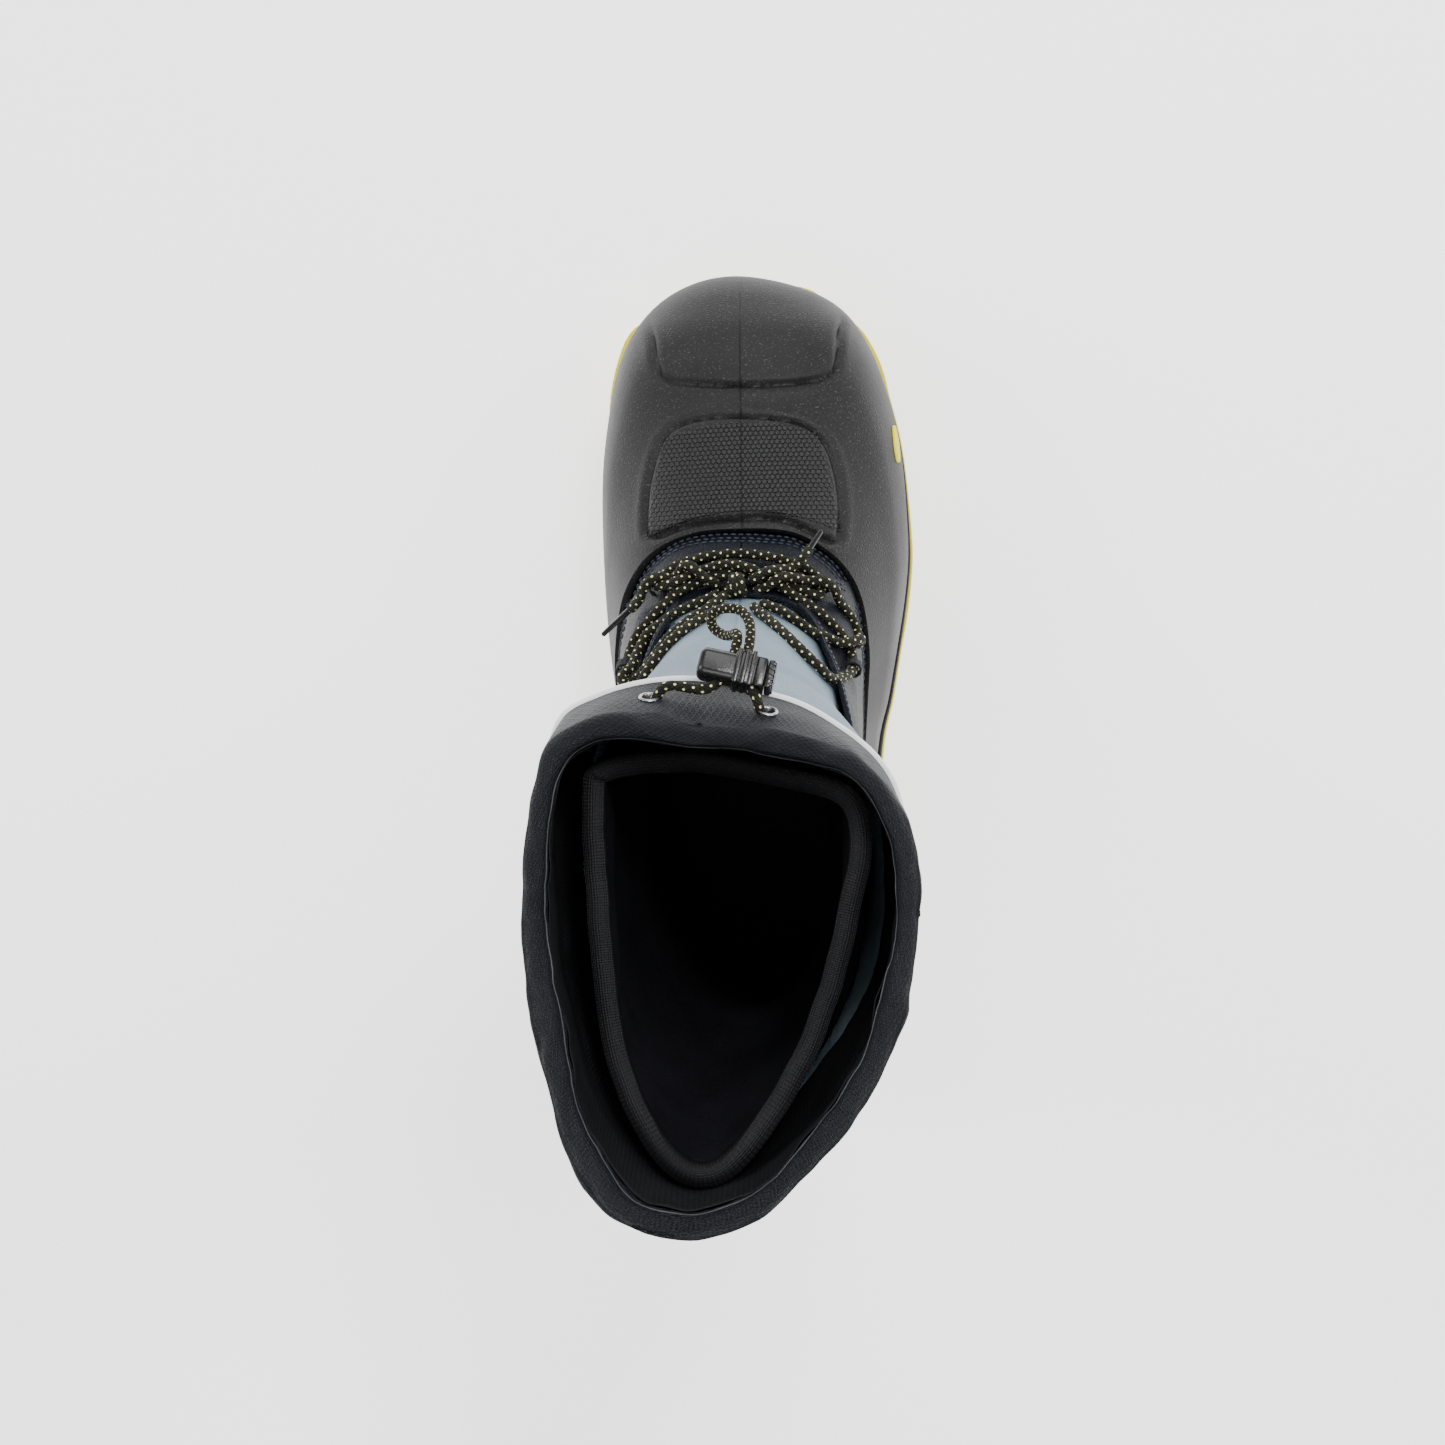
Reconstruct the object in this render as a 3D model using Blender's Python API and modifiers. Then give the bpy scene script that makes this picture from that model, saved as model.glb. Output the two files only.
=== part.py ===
"""A winter pac boot for the right foot: moulded shell, leather vamp and quarters, nylon shaft,
snow collar with a drawcord and cord lock, laces tied in a bow, and a loose felt liner.

The toe points to -Y, the lateral (outer) side to -X, and the sole stands on Z = 0.
"""

import math

import bmesh
import bpy
import numpy as np
from mathutils import Matrix, Vector
from mathutils.bvhtree import BVHTree

MM = 0.001
GAP = 0.35 * MM  # clear space between neighbouring pieces

# Driving dimensions.
SIDES = 40  # points round every horizontal ring
TOE_CROWDING = 0.4  # how much closer together the ring points lie at the toe
SOLE_TOP_Z = 20 * MM  # underside of the shell
SHELL_WALL = 3.2 * MM
LEATHER = 1.8 * MM
NYLON = 1.2 * MM
LINER_WALL = 6.5 * MM
LINER_ROOM = 2.4 * MM  # between the shell's inner face and the liner
LACE = 3.8 * MM  # diameter of the lace
DRAWCORD = 3.4 * MM

# Rings of (x, y, z) in millimetres, each seen from above about its own centre.
SHELL_CENTRE = (0, 20)
SHELL_OUTLINE = [
    (2, -177, 45), (30, -170, 45), (49, -149, 45), (58, -115, 45), (61, -80, 45), (59.5, -28, 45),
    (53, 20, 45), (45, 80, 45), (39, 115, 45), (23, 141, 45), (-1, 150, 45), (-25, 141, 45),
    (-40, 113, 45), (-44, 75, 45), (-49, 22, 45), (-55, -3, 45), (-63, -44, 45), (-64.8, -70, 45),
    (-62, -110, 45), (-51, -147, 45), (-33, -167, 45),
]
SHELL_EDGE = [
    (0, -67, 118), (20, -66, 115.5), (37, -59, 109), (48, -45, 102), (53, -26, 95), (54, -5, 89),
    (49.5, 40, 85), (42, 85, 89), (28, 118, 96), (0, 131, 100), (-28, 118, 96), (-41, 80, 89),
    (-44, 30, 85), (-46.5, 1, 88), (-48, -18, 93), (-46, -38, 100), (-40, -51, 106),
    (-30, -60, 112), (-18, -65.5, 116),
]
LEATHER_CENTRE = (0, 40)
LEATHER_TOP = [
    (0, -43, 141), (14, -42, 141), (26, -37, 143), (37, -15, 156), (41, 10, 177), (44, 45, 190),
    (41, 85, 195), (25, 115, 199), (0, 125, 201), (-25, 115, 199), (-41, 85, 195), (-44, 45, 190),
    (-40, 10, 177), (-36, -13, 156), (-26, -34, 143), (-14, -41, 141),
]
SHAFT_LOW_CENTRE = (0, 50)
SHAFT_LOW = [
    (0, -22, 190), (20, -17, 191), (36, 3, 198), (44, 40, 207), (45, 70, 212), (40, 100, 216),
    (22, 124, 218), (0, 131, 219), (-22, 124, 218), (-40, 100, 216), (-46, 70, 212),
    (-45, 40, 207), (-36, 6, 198), (-20, -15, 191),
]
SHAFT_MID_CENTRE = (0, 65)
SHAFT_MID = [
    (2, -12, 238), (26, -8, 239), (44, 8, 243), (52, 42, 248), (53, 75, 251), (47, 110, 255),
    (28, 138, 258), (3, 147, 259), (-22, 138, 258), (-43, 112, 255), (-53, 80, 251),
    (-53, 48, 248), (-46, 18, 243), (-26, -4, 239),
]
PIPING_CENTRE = (2, 78)
PIPING_RING = [
    (6, -4, 286), (23, -4, 286), (40, 0, 287), (53.5, 8, 288), (59, 30, 290), (60, 60, 292),
    (59, 85, 293), (54, 112, 295), (45, 137, 297), (28, 156, 299), (9, 162, 300), (-13, 157, 299),
    (-36, 138, 297), (-50, 116, 295), (-58, 90, 293), (-61, 60, 291), (-58.5, 38, 290),
    (-53, 26, 288), (-43, 16, 287), (-27, 5.5, 286), (-10, 0, 286),
]
RIM_CENTRE = (1, 88)
RIM_RING = [
    (4, 10, 317.5), (30, 6, 318), (46, 9, 320), (57, 20, 322), (63, 48, 327), (64.5, 75, 328),
    (62.5, 98, 331), (58, 121, 333), (51, 147, 335), (35, 169, 337), (12, 176, 337.5),
    (-11, 169, 337), (-26, 156, 336), (-41, 140, 335), (-55, 117, 332), (-63, 88, 330),
    (-65.5, 64, 328), (-63, 47, 325.5), (-57, 34, 322.5), (-46, 22, 318.5), (-24, 14, 317),
]
LINER_TOP_CENTRE = (-1, 88)
LINER_TOP = [
    (10, 20, 291), (40, 23, 294), (45.5, 33, 297), (45.5, 67, 300), (43, 101, 301),
    (36, 133, 305), (25, 154, 310), (11, 161.5, 313), (-3, 157, 311), (-20, 136, 306),
    (-38, 98, 301), (-47.5, 62, 300), (-48.5, 46, 298), (-42, 33, 295), (-20, 26, 292),
]

# Heights in the sole, from the ground up.
LUG_TOP_Z = 4 * MM
TREAD_TOP_Z = 7 * MM
MIDSOLE_TOP_Z = 12 * MM

# The cord lock: where it hangs, and its own directions.
LOCK_CENTRE = Vector((-7.2, -6.5, 302.0)) * MM
LOCK_LONG = Vector((-0.969, 0.247, 0)).normalized()  # towards the button
LOCK_DROOP = math.radians(20)
LOCK_BACK_X, LOCK_FRONT_X = -13.2 * MM, 10 * MM
LOCK_HALF_DEPTH = 5.75 * MM  # along the cords
LOCK_HALF_HEIGHT = 4.9 * MM
STRAND_OFFSET = 2.15 * MM  # of each strand from the lock's middle

# Routes of the lace over the upper, seen from above, in millimetres.
LACE_ROUTE = [
    (7.5, -35), (14, -30), (23, -23), (31, -13), (37, -5), (41, -8), (41, -16), (37, -26),
    (28, -35), (19, -40.5), (9, -45.5), (-2, -46.5), (-11, -45.5), (-20, -40.5), (-27, -35.5),
    (-30, -38), (-29, -43.5), (-23, -48.5), (-15, -52), (-6, -54), (4, -55), (14, -54),
    (23, -51.5), (29.5, -48), (31.5, -42.5), (26, -39), (18, -43.5), (8, -46.5), (-2, -46.5),
    (-11, -43), (-20, -37), (-29, -29), (-36, -21), (-40, -13), (-39, -6), (-34, -4),
    (-27, -10), (-20, -18), (-12, -26), (-6, -32),
]
BOW_LATERAL = [
    (-8, -38), (-14, -40), (-23, -40.5), (-33, -37), (-40, -29), (-42, -20), (-38, -15),
    (-31, -18.5), (-24, -24), (-15, -30.5), (-8.5, -33.5),
]
BOW_MEDIAL = [
    (9, -36.5), (14, -35), (21, -32.5), (28, -28), (35, -20), (39.5, -10), (38, -3), (33.5, -5),
    (29, -13), (23, -20), (15, -26.5), (7, -31),
]
TAIL_MEDIAL = [(8, -41), (13, -42), (20, -43.5), (25, -45)]
TAIL_LATERAL = [(-7, -42), (-12, -43), (-18, -46)]
TAIL_ENDS = {"medial": (41, -38.5, 134), "lateral": (-26, -54.5, 137)}
AGLET_ENDS = {"medial": (50, -31, 122), "lateral": (-29, -63, 124)}
KEEPER_PLACES = {
    "medial_low": (33, -45, 136), "lateral_low": (-31, -42, 133), "medial_high": (44, -13, 154),
    "lateral_high": (-43, -10, 155),
}
KNOT_PLACE = (1, -38.5)
KNOT_RADII = (6.2, 5.0, 4.6)
AGLET_LENGTH, AGLET_WIDTH = 18, 2.8

# The drawcord outside the collar, in millimetres.
EYELETS = {"medial": (22, 1), "lateral": (-17, 7)}
CORD_LOOP = [
    (-10.4, -26.6, 290.3), (-4, -28.2, 288), (1.6, -27.2, 285.6), (2.6, -23.2, 283),
    (-0.6, -19.8, 283.5), (-4.6, -18.4, 288.5),
]

collections = {}


# ---- helpers ----------------------------------------------------------------------------------


def clear_scene():
    for item in list(bpy.data.objects):
        bpy.data.objects.remove(item)
    for name in ("pac_boot", "cutters"):
        collections[name] = bpy.data.collections.new(name)
        bpy.context.scene.collection.children.link(collections[name])


def link(item, where="pac_boot"):
    collections[where].objects.link(item)
    if where == "cutters":
        item.hide_render = True
        item.display_type = "WIRE"
    return item


def material(name, colour, roughness, metallic=0.0):
    made = bpy.data.materials.get(name)
    if made is None:
        made = bpy.data.materials.new(name)
        made.use_nodes = True
        shader = made.node_tree.nodes["Principled BSDF"]
        shader.inputs["Base Color"].default_value = (*colour, 1)
        shader.inputs["Roughness"].default_value = roughness
        shader.inputs["Metallic"].default_value = metallic
    return made


def finish(item, made_of):
    item.data.materials.append(made_of)
    if item.type == "MESH":
        item.data.shade_smooth()
        item.data.set_sharp_from_angle(angle=math.radians(40))
    return item


def thetas():
    """Angles round a ring, anticlockwise from +X, closer together at the toe (-90 degrees)."""
    steps = np.arange(SIDES) * 2 * math.pi / SIDES
    return steps - TOE_CROWDING * np.cos(steps)


def smooth_line(points, per_span, closed=False):
    """Points along a Catmull-Rom curve through the given ones."""
    points = np.array(points, float)
    count = len(points)
    if not closed:
        first = 2 * points[0] - points[1]
        last = 2 * points[-1] - points[-2]
        points = np.vstack([first, points, last])
    made = []
    for i in range(count if closed else count - 1):
        if closed:
            a, b, c, d = (points[(i + k - 1) % count] for k in range(4))
        else:
            a, b, c, d = points[i : i + 4]
        for t in np.arange(per_span) / per_span:
            made.append(
                0.5 * (2 * b + (c - a) * t + (2 * a - 5 * b + 4 * c - d) * t**2
                       + (3 * b - a - 3 * c + d) * t**3)
            )
    if not closed:
        made.append(points[-2])
    return np.array(made)


def ring(points, centre, shrink=0.0, lift=0.0):
    """The closed curve through the points, in metres, read at the shared angles."""
    line = smooth_line(points, 24, closed=True) * MM
    cx, cy = centre[0] * MM, centre[1] * MM
    angle = np.arctan2(line[:, 1] - cy, line[:, 0] - cx)
    reach = np.hypot(line[:, 0] - cx, line[:, 1] - cy)
    theta = thetas()
    radius = np.interp(theta, angle, reach, period=2 * math.pi) - shrink
    height = np.interp(theta, angle, line[:, 2], period=2 * math.pi) + lift
    return np.stack([cx + radius * np.cos(theta), cy + radius * np.sin(theta), height], axis=1)


def inset(rings, depth):
    """The same rings moved inwards, square to the surface that they span."""
    grid = np.array(rings)
    around = np.roll(grid, -1, axis=1) - np.roll(grid, 1, axis=1)
    upward = np.gradient(grid, axis=0)
    normal = np.cross(around, upward)
    normal /= np.linalg.norm(normal, axis=2, keepdims=True)
    return grid - normal * depth


def between(rings, places):
    """Rings read at places 0 .. len - 1 along a smooth curve through the given rings."""
    grid = np.array(rings)
    whole = np.vstack([2 * grid[:1] - grid[1:2], grid, 2 * grid[-1:] - grid[-2:-1]])
    made = []
    for place in places:
        i = min(int(place), len(grid) - 2)
        t = place - i
        a, b, c, d = whole[i : i + 4]
        made.append(0.5 * (2 * b + (c - a) * t + (2 * a - 5 * b + 4 * c - d) * t**2
                           + (3 * b - a - 3 * c + d) * t**3))
    return np.array(made)


def sheet_mesh(name, rings, closed=True, floor=False):
    """An open surface spanned by the rings, facing outwards, with an optional floor at ring 0."""
    mesh = bmesh.new()
    rows = [[mesh.verts.new(point) for point in row] for row in rings]
    columns = len(rows[0]) if closed else len(rows[0]) - 1
    for low, high in zip(rows, rows[1:]):
        for i in range(columns):
            j = (i + 1) % len(low)
            mesh.faces.new((low[i], low[j], high[j], high[i]))
    if floor:
        mesh.faces.new(rows[0][::-1])
    return to_object(mesh, name)


def to_object(mesh, name, where="pac_boot"):
    data = bpy.data.meshes.new(name)
    mesh.to_mesh(data)
    mesh.free()
    return link(bpy.data.objects.new(name, data), where)


def walled(name, rings, wall, made_of, closed=True, floor=False):
    """A wall of even thickness whose outer face is the surface that the rings span."""
    item = sheet_mesh(name, rings, closed, floor)
    solidify = item.modifiers.new("wall", "SOLIDIFY")
    solidify.thickness = wall
    solidify.offset = -1
    return finish(item, made_of)


def solid_between(name, low, high, made_of):
    """A closed slab between two rings, such as one layer of the sole."""
    mesh = bmesh.new()
    rows = [[mesh.verts.new(point) for point in row] for row in (low, high)]
    for i in range(SIDES):
        j = (i + 1) % SIDES
        mesh.faces.new((rows[0][i], rows[0][j], rows[1][j], rows[1][i]))
    mesh.faces.new(rows[0][::-1])
    mesh.faces.new(rows[1])
    return finish(to_object(mesh, name), made_of)


def tube(name, points, diameter, made_of, sides=8, smooth=True):
    """A round cord along a line of points in metres, with more corners where it bends."""
    line = smooth_line(points, 16) if smooth else np.array(points)
    kept = [0]
    while kept[-1] < len(line) - 1:
        last = kept[-1]
        step = 1
        while last + step + 1 < len(line) and fits(line[last : last + step + 2], diameter):
            step += 1
        kept.append(last + step)
    curve = bpy.data.curves.new(name, "CURVE")
    curve.dimensions = "3D"
    curve.bevel_depth = diameter / 2
    curve.bevel_resolution = sides // 2 - 2
    curve.use_fill_caps = True
    spline = curve.splines.new("POLY")
    spline.points.add(len(kept) - 1)
    for point, index in zip(spline.points, kept):
        point.co = (*line[index], 1)
    return finish(link(bpy.data.objects.new(name, curve)), made_of)


def fits(part, diameter):
    """Whether one straight length can stand for this part of a cord's line."""
    whole = part[-1] - part[0]
    length = np.linalg.norm(whole)
    if length > 3 * diameter:
        return False
    away = np.linalg.norm(np.cross(part - part[0], whole / length), axis=1)
    return away.max() < 0.08 * diameter


def block(name, size, centre, where="pac_boot", turn=None):
    """A box with its scale applied, in metres; turn is a rotation matrix about its centre."""
    mesh = bmesh.new()
    bmesh.ops.create_cube(mesh, size=1)
    bmesh.ops.scale(mesh, vec=size, verts=mesh.verts)
    bmesh.ops.translate(mesh, vec=centre, verts=mesh.verts)
    if turn is not None:
        bmesh.ops.transform(mesh, matrix=turn, verts=mesh.verts)
    return to_object(mesh, name, where)


def spun(name, profile):
    """A turned piece: a closed (radius, height) profile in millimetres, spun about its Z axis."""
    mesh = bmesh.new()
    corners = [mesh.verts.new((r * MM, 0, z * MM)) for r, z in profile[::-1]]
    for pair in zip(corners, [*corners[1:], corners[0]]):
        mesh.edges.new(pair)
    item = to_object(mesh, name)
    screw = item.modifiers.new("spin", "SCREW")
    screw.steps = screw.render_steps = 16
    screw.use_merge_vertices = True
    screw.merge_threshold = 0.01 * MM
    screw.use_normal_calculate = True
    return item


def facing(place, direction):
    """A matrix that stands a piece at a place with its Z axis along the direction."""
    return Matrix.Translation(place) @ direction.to_track_quat("Z", "Y").to_matrix().to_4x4()


def boolean(item, other, operation):
    modifier = item.modifiers.new(operation.lower(), "BOOLEAN")
    modifier.object = other
    modifier.operation = operation


def round_pill(half_length, half_width, segments):
    """Corners of a bar with half-round ends in the XY plane, as a list of (x, y)."""
    straight = half_length - half_width
    made = []
    for end, start in ((1, -90), (-1, 90)):
        for k in range(segments + 1):
            angle = math.radians(start + 180 * k / segments)
            made.append((end * straight + half_width * math.cos(angle),
                         half_width * math.sin(angle)))
    return made


# ---- the moulded lower ------------------------------------------------------------------------


def shell_rings():
    """The shell's outer surface, from its sole line up the wall and over the foot to its edge."""
    wide = ring(SHELL_OUTLINE, SHELL_CENTRE)
    edge = ring(SHELL_EDGE, SHELL_CENTRE)
    bottom = ring(SHELL_OUTLINE, SHELL_CENTRE, shrink=3.5 * MM)
    bottom[:, 2] = SOLE_TOP_Z + GAP
    low = ring(SHELL_OUTLINE, SHELL_CENTRE, shrink=1 * MM)
    low[:, 2] = 31 * MM
    rings = [bottom, low, wide]
    for across, rise in wall_profile():
        step = wide + (edge - wide) * across
        step[:, 2] = wide[:, 2] + (edge[:, 2] - wide[:, 2]) * rise
        rings.append(step)
    return rings


def wall_profile():
    """(share of the way in, share of the way up) from the widest line to the edge."""
    quick_rise, turn = 0.36, 0.3
    made = []
    for degrees in (22, 45, 68, 90):
        across = turn * (1 - math.cos(math.radians(degrees)))
        rise = quick_rise * math.sin(math.radians(degrees)) + (1 - quick_rise) * across
        made.append((across, rise))
    for across in (0.5, 0.75, 1.0):
        made.append((across, quick_rise + (1 - quick_rise) * across))
    return made


def make_shell():
    rubber = material("shell_rubber", (0.045, 0.045, 0.047), 0.6)
    walled("shell", shell_rings(), SHELL_WALL, rubber, floor=True)


def accent_rings():
    """A small patch just proud of the shell's wall beside the ball of the foot."""
    grid = inset(shell_rings(), -1.9 * MM)
    theta = thetas()
    wanted = math.radians(-116)
    wanted_index = int(np.abs(np.angle(np.exp(1j * (theta - wanted)))).argmin())
    columns = [wanted_index - 1, wanted_index, wanted_index + 1]
    lower = grid[2][columns]
    upper = grid[4][columns]
    return [lower + (upper - lower) * share for share in (0.15, 0.85)]


def make_accents():
    yellow = material("yellow_rubber", (0.75, 0.62, 0.02), 0.5)
    walled("side_accent", accent_rings(), 0.8 * MM, yellow, closed=False)


def sole_ring(grow, height):
    made = ring(SHELL_OUTLINE, SHELL_CENTRE, shrink=-grow)
    made[:, 2] = height
    return made


def make_sole():
    black = material("sole_rubber", (0.02, 0.02, 0.02), 0.7)
    yellow = material("yellow_rubber", (0.75, 0.62, 0.02), 0.5)
    rand = solid_between("midsole_rand", sole_ring(1.2 * MM, MIDSOLE_TOP_Z + GAP),
                         sole_ring(1.0 * MM, SOLE_TOP_Z), black)
    pocket = block("shank_pocket", (44.6 * MM, 150.6 * MM, 4 * MM),
                   Vector((-1, 45, 20)) * MM, "cutters")
    boolean(rand, pocket, "DIFFERENCE")
    shank = block("shank", (44 * MM, 150 * MM, 1.3 * MM), Vector((-1, 45, 19.0)) * MM)
    finish(shank, material("shank_nylon", (0.3, 0.3, 0.3), 0.5))
    solid_between("sole_layer", sole_ring(1.4 * MM, TREAD_TOP_Z + GAP),
                  sole_ring(2.0 * MM, MIDSOLE_TOP_Z), yellow)
    tread = solid_between("tread", sole_ring(0.2 * MM, LUG_TOP_Z),
                          sole_ring(1.0 * MM, TREAD_TOP_Z), black)
    boolean(tread, lug_blocks(), "UNION")


def lug_blocks():
    """Rows of lugs that reach from inside the tread plate down to the ground."""
    mesh = bmesh.new()
    depth = LUG_TOP_Z + 1 * MM
    rows = [(-158, 24, 20), (-132, 38, 20), (-104, 46, 20), (-76, 48, 20), (-48, 46, 20),
            (72, 32, 20), (100, 30, 20), (128, 20, 18)]
    for y, half_width, length in rows:
        for side in (-1, 1):
            x = side * half_width / 2 - 1
            corner = Matrix.Translation(Vector((x, y, 0)) * MM + Vector((0, 0, depth / 2)))
            turn = Matrix.Rotation(math.radians(12 * side), 4, "Z")
            size = Matrix.Diagonal(((half_width - 7) * MM, length * MM, depth, 1))
            bmesh.ops.create_cube(mesh, size=1, matrix=corner @ turn @ size)
    return to_object(mesh, "lugs", "cutters")


# ---- leather and nylon upper ------------------------------------------------------------------


def leather_rings():
    """The leather's outer surface, from inside the shell's edge up to the ankle."""
    seat = inset(shell_rings(), SHELL_WALL + GAP)
    edge = seat[-1]
    tucked = edge + (seat[-2] - edge) * 0.3
    tucked[:, 2] = edge[:, 2] - 0.3 * (edge[:, 2] - seat[-2][:, 2]) - 3 * MM
    top = ring(LEATHER_TOP, LEATHER_CENTRE)
    middle = edge + (top - edge) * 0.5
    swell = ring(LEATHER_TOP, LEATHER_CENTRE, shrink=-1.5 * MM) - top
    return [tucked, edge, middle + swell, top]


def columns_between(start, end):
    """Indices of the ring columns from the one nearest the start angle to that of the end."""
    theta = np.degrees(thetas())
    first, last = (int(np.abs((theta - angle + 180) % 360 - 180).argmin()) for angle in (start, end))
    count = (last - first) % SIDES
    return [(first + k) % SIDES for k in range(count + 1)]


def panel(rings, start, end, trim=0.9 * MM):
    """The part of the rings between two angles, drawn back a little at both ends."""
    columns = columns_between(start, end)
    made = []
    for row in rings:
        part = np.array(row)[columns]
        for end_index, inner in ((0, 1), (-1, -2)):
            direction = part[inner] - part[end_index]
            part[end_index] = part[end_index] + direction / np.linalg.norm(direction) * trim
        made.append(part)
    return made


def make_leather():
    navy = material("navy_leather", (0.012, 0.016, 0.024), 0.4)
    rings = between(leather_rings(), (0, 1, 1.5, 2, 2.5, 3))
    for name, start, end in (
        ("vamp_medial", -90, -57),
        ("vamp_lateral", -124, -90),
        ("quarter_medial", -57, 80),
        ("heel_strap", 80, 101),
        ("quarter_lateral", 101, 236),
    ):
        walled(name, panel(rings, start, end), LEATHER, navy, closed=False)


def shaft_rings():
    """The nylon shaft's outer surface, from behind the leather up to the piping."""
    leather = inset(between(leather_rings(), (2.0, 2.5, 3.0)), LEATHER + 2 * GAP)
    low = ring(SHAFT_LOW, SHAFT_LOW_CENTRE)
    mid = ring(SHAFT_MID, SHAFT_MID_CENTRE)
    top = ring(PIPING_RING, PIPING_CENTRE, lift=-1.9 * MM)
    return [leather[0], leather[2], low, mid, top]


def make_shaft():
    grey = material("grey_nylon", (0.28, 0.36, 0.40), 0.7)
    rings = between(shaft_rings(), (0, 1, 1.5, 2, 2.5, 3, 3.5, 4))
    for name, start, end in (("shaft_medial", -90, 90), ("shaft_lateral", 90, 270)):
        walled(name, panel(rings, start, end), NYLON, grey, closed=False)


def make_piping():
    """A reflective bead in the seam between the shaft and the collar."""
    white = material("reflective_piping", (0.8, 0.8, 0.8), 0.35)
    radius, corners = 1.5 * MM, 6
    centre = ring(PIPING_RING, PIPING_CENTRE)
    outward = ring(PIPING_RING, PIPING_CENTRE, shrink=-1 * MM) - centre
    outward /= np.linalg.norm(outward, axis=1, keepdims=True)
    rings = []
    for k in range(corners + 1):
        angle = 2 * math.pi * k / corners - math.pi / 2
        rings.append(centre + outward * radius * math.cos(angle)
                     + np.array([0, 0, radius * math.sin(angle)]))
    item = sheet_mesh("reflective_piping", rings)
    weld = item.modifiers.new("weld", "WELD")
    weld.merge_threshold = 0.01 * MM
    finish(item, white)


def collar_rings():
    """The collar fabric: up the outside, over the drawcord's hem, and down inside."""
    low = ring(PIPING_RING, PIPING_CENTRE, lift=1.9 * MM)
    rings = [low]
    rim = ring(RIM_RING, RIM_CENTRE)
    rings.append(low + (rim - low) * 0.5)
    fold, drop = 4 * MM, 9 * MM
    outer = rim.copy()
    outer[:, 2] -= fold
    rings.append(outer)
    for degrees in (45, 90, 135, 180):
        angle = math.radians(degrees)
        step = ring(RIM_RING, RIM_CENTRE, shrink=fold * (1 - math.cos(angle)))
        step[:, 2] += fold * (math.sin(angle) - 1)
        rings.append(step)
    inner = ring(RIM_RING, RIM_CENTRE, shrink=2 * fold + 0.5 * MM)
    inner[:, 2] -= fold + drop
    rings.append(inner)
    return rings


def make_collar():
    black = material("collar_ripstop", (0.016, 0.018, 0.022), 0.65)
    walled("snow_collar", collar_rings(), NYLON, black)
    for side in EYELETS:
        centre, outward = eyelet_place(side)
        mesh = bmesh.new()
        bmesh.ops.create_cone(mesh, cap_ends=True, segments=16, radius1=3.1 * MM,
                              radius2=3.1 * MM, depth=9 * MM, matrix=facing(centre, outward))
        hole = to_object(mesh, f"eyelet_hole_{side}", "cutters")
        boolean(bpy.data.objects["snow_collar"], hole, "DIFFERENCE")


def eyelet_place(side):
    """Where an eyelet sits on the collar, and the direction that it faces."""
    x, y = EYELETS[side]
    tree = outer_tree("snow_collar")
    start = Vector((x, y - 40, 304)) * MM
    centre, _, _, _ = tree.ray_cast(start, Vector((0, 1, 0)))
    outward = Vector((0, 0, 0))
    for aside in ((-3, 0, 0), (3, 0, 0), (0, 0, -3), (0, 0, 3)):
        _, found, _, _ = tree.ray_cast(start + Vector(aside) * MM, Vector((0, 1, 0)))
        outward += found if found.y < 0 else -found
    return centre, outward.normalized()


def make_eyelets():
    """Two-part metal eyelets, pressed together through the collar."""
    silver = material("eyelet_metal", (0.75, 0.75, 0.76), 0.25, 1.0)
    profile = [(2.3, -3.1), (3.8, -3.1), (3.8, -2.6), (2.8, -2.6), (2.8, 0.8), (3.8, 0.8),
               (3.8, 1.2), (3.2, 1.7), (2.3, 1.3)]
    for side in EYELETS:
        centre, outward = eyelet_place(side)
        eyelet = spun(f"eyelet_{side}", profile)
        eyelet.matrix_world = facing(centre, outward)
        finish(eyelet, silver)


# ---- the felt liner ---------------------------------------------------------------------------


def liner_rings():
    """The liner's outer surface: its sole, the foot, and the leg up to the binding."""
    shell = inset(shell_rings(), SHELL_WALL + LINER_ROOM)
    base = shell[1].copy()
    base[:, 2] = SOLE_TOP_Z + SHELL_WALL + 1.5 * MM
    leather = inset(leather_rings(), LEATHER + 2 * GAP + 0.8 * MM)
    ankle = inset(shaft_rings(), NYLON + 2 * GAP + 0.6 * MM)
    low = ring(SHAFT_LOW, SHAFT_LOW_CENTRE, shrink=5 * MM)
    mid = ring(SHAFT_MID, SHAFT_MID_CENTRE, shrink=7 * MM)
    top = ring(LINER_TOP, LINER_TOP_CENTRE)
    foot = [base, shell[2], shell[4], shell[5], shell[7], leather[0], leather[1]]
    return [*foot, ankle[0], ankle[1], low, mid, mid + (top - mid) * 0.5, top]


def make_liner():
    felt = material("liner_felt", (0.012, 0.012, 0.014), 0.95)
    rings = liner_rings()
    edge = rings[-2] + (rings[-1] - rings[-2]) * 0.81
    walled("felt_liner", [*rings[:-1], edge], LINER_WALL, felt, floor=True)
    binding = material("liner_binding", (0.03, 0.03, 0.034), 0.6)
    low = rings[-2] + (rings[-1] - rings[-2]) * 0.89
    walled("liner_binding", [low, rings[-1]], LINER_WALL, binding)


def make_footbed():
    foam = material("footbed_foam", (0.2, 0.2, 0.22), 0.9)
    rim = inset(liner_rings(), LINER_WALL + 1.2 * MM)[1]
    low, high = rim.copy(), rim.copy()
    low[:, 2] = SOLE_TOP_Z + SHELL_WALL + 1.5 * MM + LINER_WALL + GAP
    high[:, 2] = low[:, 2] + 5 * MM
    solid_between("footbed", low, high, foam)


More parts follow.
